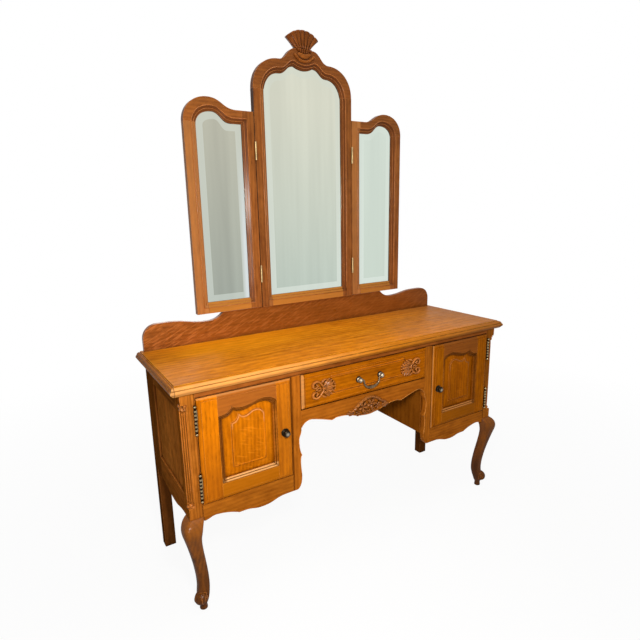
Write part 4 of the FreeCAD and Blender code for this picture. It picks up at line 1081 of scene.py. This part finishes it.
PAD_PROFILE = [
    (0, 0.1), (11, 0.1), (12.6, 1.4), (13, 4), (12.2, 9), (11.6, 14), (12.4, 20), (14, 27), (0, 27.5)]
# Painted light on the knee, painted shade towards the foot, deepest on the side towards the middle low down
LEG_BANDS = [
    ("z", 0.2, 0.31, 0.5, (0.31, 0.098, 0.014)),
    ("z", 0.17, 0.05, 0.55, (0.085, 0.024, 0.003)),
    ("ax", 0.65, 0.628, 0.55, (0.055, 0.014, 0.001), ("z", 0.3, 0.24)),
]


def leg_loft():
    """The right leg's knee and shank, with sections between a circle and a square."""
    loops = []
    for height, inset, half_side, square in smooth(LEG_ROWS, 90):
        x = CORNER[0] - inset - LEG_LEAN * (1 - height / LEG_TOP)
        y = CORNER[1] + inset
        loop = []
        for k in range(LEG_POINTS):
            c, d = math.cos(math.tau * k / LEG_POINTS), math.sin(math.tau * k / LEG_POINTS)
            u = math.copysign(abs(c) ** (2 / square), c)
            v = math.copysign(abs(d) ** (2 / square), d)
            loop.append(at(x + half_side * u, y + half_side * v, height))
        loops.append(loop)
    return rings(loops)


def leg_toe():
    """The right leg's rolled toe with a spiral on each end, and the pad under it."""
    toe = Vector((CORNER[0] - LEG_LEAN, CORNER[1], 0))
    centre = toe - OUT * TOE_BACK + Vector((0, 0, TOE_HEIGHT))
    parts = [lathe(ROLL_PROFILE, centre, ACROSS, 48)]
    for end in SIDES.values():
        def place(u, v, h, end=end):
            dome = 17.8 - 0.019 * (u * u + v * v)
            return (centre + ACROSS * end * (dome + h) + OUT * u + Vector((0, 0, v))) * MM
        strokes = [spiral(0, 0, 16.8, 2, 120, -540, 3.8, 3.4, 60), [(0, 0, 5.2, 4.2)]]
        verts, faces = relief(strokes, place, 0.7, 0.8)
        outward = [face[::end] for face in faces]
        parts.append((verts, outward))
    parts.append(lathe(PAD_PROFILE, toe - OUT * PAD_BACK, (0, 0, 1), 36))
    return merged(parts)


right_leg = merged([leg_loft(), leg_toe()])
for side in ("right", "left"):
    look = wood("leg", "z", 0.8, rough=0.3, coat=0.22, shine=0, recess=0.012, low=0.1, bands=LEG_BANDS)
    piece(side + "_leg_carved", HANDS[side](right_leg), look, "case", f"front_{side}_leg")


# Mirrors: bevelled glass and beads round the sight

REBATE = 7
FRAME_FRONT = corners("center_mirror_stiles")[0][1]
CENTER_LOW, CENTER_HIGH = corners("center_mirror_glass")
WING_LOW, WING_HIGH = corners("right_wing_glass")
GLASS_FRONT, GLASS_BACK = CENTER_LOW[1], CENTER_HIGH[1]
CENTER_SPRING = 1668
CENTER_BEND = (105, 1752)
LOBE_X = 42
LOBE_DIP = 11
WING_SPRING = 1552
WING_DROP = 36
WING_BUMP_SHARE = 0.66
WING_FLAT_SHARE = 0.24
BEVEL_WIDTH = 25
GLASS_OVERLAP = 6.8
SIGHT_BEADS = ((18.4, 0, 1.3), (8.5, 5.9, 1))


def center_sight(grow):
    """The opening of the centre frame, widened all round."""
    side = CENTER_HIGH[0] - REBATE + grow
    low = CENTER_LOW[2] + REBATE - grow
    peak_z = CENTER_HIGH[2] - REBATE + grow
    bend = (CENTER_BEND[0], CENTER_BEND[1] + grow)
    dip = ((LOBE_X / 2, peak_z - 0.75 * LOBE_DIP), (0, peak_z - LOBE_DIP))
    spring = (side, CENTER_SPRING)
    steps = [(spring,), shoulder(spring, bend), wave(bend, (LOBE_X, peak_z)), dip]
    right = follow((side, low), steps, 16)
    return right + [np.array((-p[0], p[1])) for p in right[-2::-1]]


def wing_sight(grow):
    """The opening of the right wing's frame, widened all round."""
    x0 = WING_LOW[0] + REBATE - grow
    x1 = WING_HIGH[0] - REBATE + grow
    low = WING_LOW[2] + REBATE - grow
    bump_z = WING_HIGH[2] - REBATE + grow
    flat_z = bump_z - WING_DROP
    spring = (x1, WING_SPRING)
    bump = (x0 + WING_BUMP_SHARE * (x1 - x0), bump_z)
    flat = (x0 + WING_FLAT_SHARE * (x1 - x0), flat_z)
    steps = [(spring,), shoulder(spring, bump), wave(bump, flat), ((x0, flat_z),), ((x0, low),)]
    return follow((x1, low), steps, 16)


def plate(sight):
    """Glass whose front edge slopes back over a band inside the frame's opening."""
    sections = ((GLASS_OVERLAP, GLASS_BACK - 0.1), (GLASS_OVERLAP, GLASS_FRONT + 1.22),
                (-BEVEL_WIDTH, GLASS_FRONT + 0.12))
    return rings([[at(x, y, z) for x, z in sight(grow)] for grow, y in sections])


def bevelled(name, parts, side, body, node):
    """A piece of glass with flat faces, its field in another look than its edge."""
    made = piece(name, parts, BEVELS[side], body, node)
    made.data.materials.append(GLASS[side])
    made.data.shade_flat()
    for face in made.data.polygons:
        if len(face.vertices) > 4:
            face.material_index = 1


def sight_beads(sight):
    """Two fine beads along a frame's moulding."""
    parts = []
    for grow, back, radius in SIGHT_BEADS:
        path = [(x, FRAME_FRONT + back, z) for x, z in sight(grow)]
        parts.append(tube(path + path[:1], radius, 8))
    return merged(parts)


bevelled("center_glass_bevelled", plate(center_sight), "center", "case", "center_mirror_glass")
wing_plate = plate(wing_sight)
for side, hand in HANDS.items():
    bevelled(side + "_wing_glass_bevelled", hand(wing_plate), side, side + "_wing", side + "_wing_glass")
# Lighter than the frames, a painted highlight on the beads
sight_look = wood("mirror", "z", 1.3, recess=0.005, low=0.15, rough=0.22, coat=0.5)
piece("center_sight_beads", sight_beads(center_sight), sight_look, "case")
wing_beads = sight_beads(wing_sight)
for side, hand in HANDS.items():
    piece(side + "_sight_beads", hand(wing_beads), sight_look, side + "_wing")


# Finial: a shell with a cup and a collar under it

FINIAL_LOW, FINIAL_HIGH = corners("finial")
FAN_FOOT = FINIAL_LOW[2] - 0.4
FAN_BACK = FINIAL_HIGH[1] - 0.3
FAN_Y = 206
FAN_CENTRE = 1815
FAN_RADII = (96, 94.8)
FAN_ANGLE = math.radians(45.8)
FAN_FOOT_HALF = 31
FAN_RIBS = 7
FAN_COLUMNS = 98
FAN_ROWS = 26


def fan_point(t, up, rib):
    """A point on the shell: t from side to side, up from foot to rim, rib from groove to ridge."""
    top_x = (FAN_RADII[0] + 0.9 * rib) * math.sin(t * FAN_ANGLE)
    top_z = FAN_CENTRE + (FAN_RADII[1] + 0.7 * rib) * math.cos(t * FAN_ANGLE)
    foot_x = t * FAN_FOOT_HALF
    x = foot_x + (top_x - foot_x) * up ** 1.25
    z = FAN_FOOT + (top_z - FAN_FOOT) * up
    rim = 2.4 * math.exp(-((up - 0.95) / 0.05) ** 2)
    swell = 3.2 * math.sin(math.pi * min(1, up * 5)) * (up < 0.2)
    ridge = 7.4 * rib * (0.85 - 0.3 * up)
    y = FAN_Y - ridge - 3 * up ** 2 - rim - swell + 3 * abs(t) ** 3 * up
    return x, y, z


def fan():
    """A shell of ribs that spreads towards a thick scalloped rim."""
    front, back = [], []
    for r in range(FAN_ROWS + 1):
        for c in range(FAN_COLUMNS + 1):
            t = 2 * c / FAN_COLUMNS - 1
            phase = (t + 1) / 2 * FAN_RIBS
            rib = math.sqrt(max(0, 1 - (2 * (phase - math.floor(phase)) - 1) ** 2))
            x, y, z = fan_point(t, r / FAN_ROWS, rib)
            front.append(at(x, y, z))
            back.append(at(x, FAN_BACK, z))
    size = len(front)
    faces = grid_faces(FAN_ROWS, FAN_COLUMNS)
    steps = {step for face in faces for step in zip(face, face[1:] + face[:1])}
    border = sorted((a, b) for a, b in steps if (b, a) not in steps)
    faces += [tuple(size + i for i in face[::-1]) for face in faces]
    faces += [(a, size + a, size + b, b) for a, b in border]
    return front + back, faces


CUP_TOP = FINIAL_LOW[2]
CUP_FOOT = 1832
CRESCENT_CENTRE = 1852
CRESCENT_REACH = 51
BOWL = [(-20, 1825, 8.5, 4.4), (0, 1819, 10.5, 5.4), (20, 1825, 8.5, 4.4)]


def cup_strokes():
    """The rounded ends of the fan's ribs, drawn in to a cup over the frame."""
    strokes = []
    for k in range(-3, 4):
        low = CUP_FOOT + 0.7 * k * k
        middle = 0.5 * (CUP_TOP + low)
        strokes.append([(9.4 * k, CUP_TOP, 4.6, 8), (9 * k, middle, 4.5, 8.4), (8.5 * k, low, 4.4, 7.2)])
    return strokes


def collar_strokes():
    """A crescent moulding under the cup, and a bowl between them."""
    angles = np.linspace(-52, 52, 9) - 90
    return [[(*ray(0, CRESCENT_CENTRE, angle, CRESCENT_REACH), 5.2, 7.4) for angle in angles], BOWL]


def crest(u, v, h):
    return at(u, FRAME_FRONT - h, min(v, CUP_TOP - 0.5))


fan_look = wood("fan", "z", 1.38, recess=0.01, low=0.03, rough=0.28, coat=0.08)
piece("finial_shell", fan(), fan_look, "case", "finial")
piece("fan_cup", relief(cup_strokes(), crest), fan_look, "case")
collar_look = wood("mirror", "x", recess=0.01, low=0.05, rough=0.28, coat=0.08)
piece("crest_collar", relief(collar_strokes(), crest), collar_look, "case")


# Stage: floor, lamps and world

FLOOR_REACH = 14
FLOOR_COUNT = 28
FLOOR_DROP = 0.0005
# Name, place, target, size, power and color
LAMPS = (
    ("key", (-0.75, -1.2, 1.3), (-0.1, 0, 0.75), (0.24, 0.24), 15.2, (1, 0.965, 0.91)),
    ("low", (-0.95, -1.55, 0.85), (-0.4, -0.2, 0.35), (0.32, 0.22), 5, (1, 0.96, 0.92)),
    ("flash", (-1.15, -1.6, 1.5), (-0.1, 0.1, 1.2), (0.12, 0.12), 2.5, (1, 0.97, 0.94)),
    ("top", (0, -0.5, 3.4), (0, 0, 0.6), (2.4, 1.8), 30, (1, 0.98, 0.95)),
    ("back", (0.3, 2.4, 1.6), (0, 0.2, 0.9), (1.6, 1.2), 12, (1, 0.98, 0.95)),
)
WHITE = (1, 1, 1)


def seen_directly(g, rays):
    """1 for what the camera sees, in a mirror and through glass too."""
    other = g.math("MAXIMUM", rays["Is Glossy Ray"], rays["Is Transmission Ray"])
    return g.math("MAXIMUM", rays["Is Camera Ray"], other)


def floor_look():
    """White where it is seen, with the table's shadow, and dull where it lights the table."""
    g = Graph(bpy.data.materials.new("floor_white"))
    place = g.add("TexCoord", {}, out="Object")
    pale = g.mix(g.noise(place, (0.8, 0.8, 0.8), 2), (0.88, 0.88, 0.88), (0.9, 0.9, 0.895))
    rays = g.outputs("LightPath", {})
    diffuse = g.add("BsdfDiffuse", {"Color": g.mix(rays["Is Diffuse Ray"], pale, (0.3, 0.29, 0.28))})
    glow = g.add("Emission", {"Color": WHITE, "Strength": 1})
    far = g.add("VectorMath", {0: place}, out="Value", operation="LENGTH")
    share = g.math("MULTIPLY", seen_directly(g, rays), g.span(far, 1, 2.6, 0.93, 1))
    g.close(g.add("MixShader", {0: share, 1: diffuse, 2: glow}))
    return g.owner


def floor():
    marks = np.linspace(-FLOOR_REACH, FLOOR_REACH, FLOOR_COUNT + 1)
    verts = [(x, y, -FLOOR_DROP) for x in marks for y in marks]
    faces = [face[::-1] for face in grid_faces(FLOOR_COUNT, FLOOR_COUNT)]
    made = mesh_object("floor", (verts, faces), floor_look())


def lamp(name, place, target, size, power, color):
    light = bpy.data.lights.new(name, "AREA")
    light.shape = "ELLIPSE"
    light.size, light.size_y = size
    light.energy = power
    light.color = color
    made = placed(name, light)
    made.location = place
    made.visible_camera = False
    made.rotation_euler = (Vector(target) - Vector(place)).to_track_quat("-Z", "Y").to_euler()


def studio():
    """A white world that lights the table softly, less from its left."""
    world = bpy.data.worlds.new("studio")
    bpy.context.scene.world = world
    g = Graph(world)
    heading = g.outputs("SeparateXYZ", {0: g.add("TexCoord", {}, out="Generated")})
    ambient = g.span(heading["X"], -0.9, 0.3, 0.15, 0.27)
    strength = g.span(seen_directly(g, g.outputs("LightPath", {})), 0, 1, ambient, 1)
    g.close(g.add("Background", {"Color": WHITE, "Strength": strength}), "World")


floor()
for row in LAMPS:
    lamp(*row)
studio()


# Camera, fitted to the photo

SENSOR = 36
LENS = 27.4644
EYE = (-1.0271, -1.5363, 1.2654)
YAW, PITCH, ROLL = -31.8514, -12.9873, -1.0905


def turn(angle, axis):
    return Matrix.Rotation(math.radians(angle), 4, axis)


camera = bpy.data.cameras.new("camera")
camera.sensor_width = SENSOR
camera.lens = LENS
eye = placed("camera", camera)
eye.matrix_world = Matrix.Translation(EYE) @ turn(YAW, "Z") @ turn(90 + PITCH, "X") @ turn(ROLL, "Z")
bpy.context.scene.camera = eye
bpy.context.scene.view_settings.view_transform = "Standard"
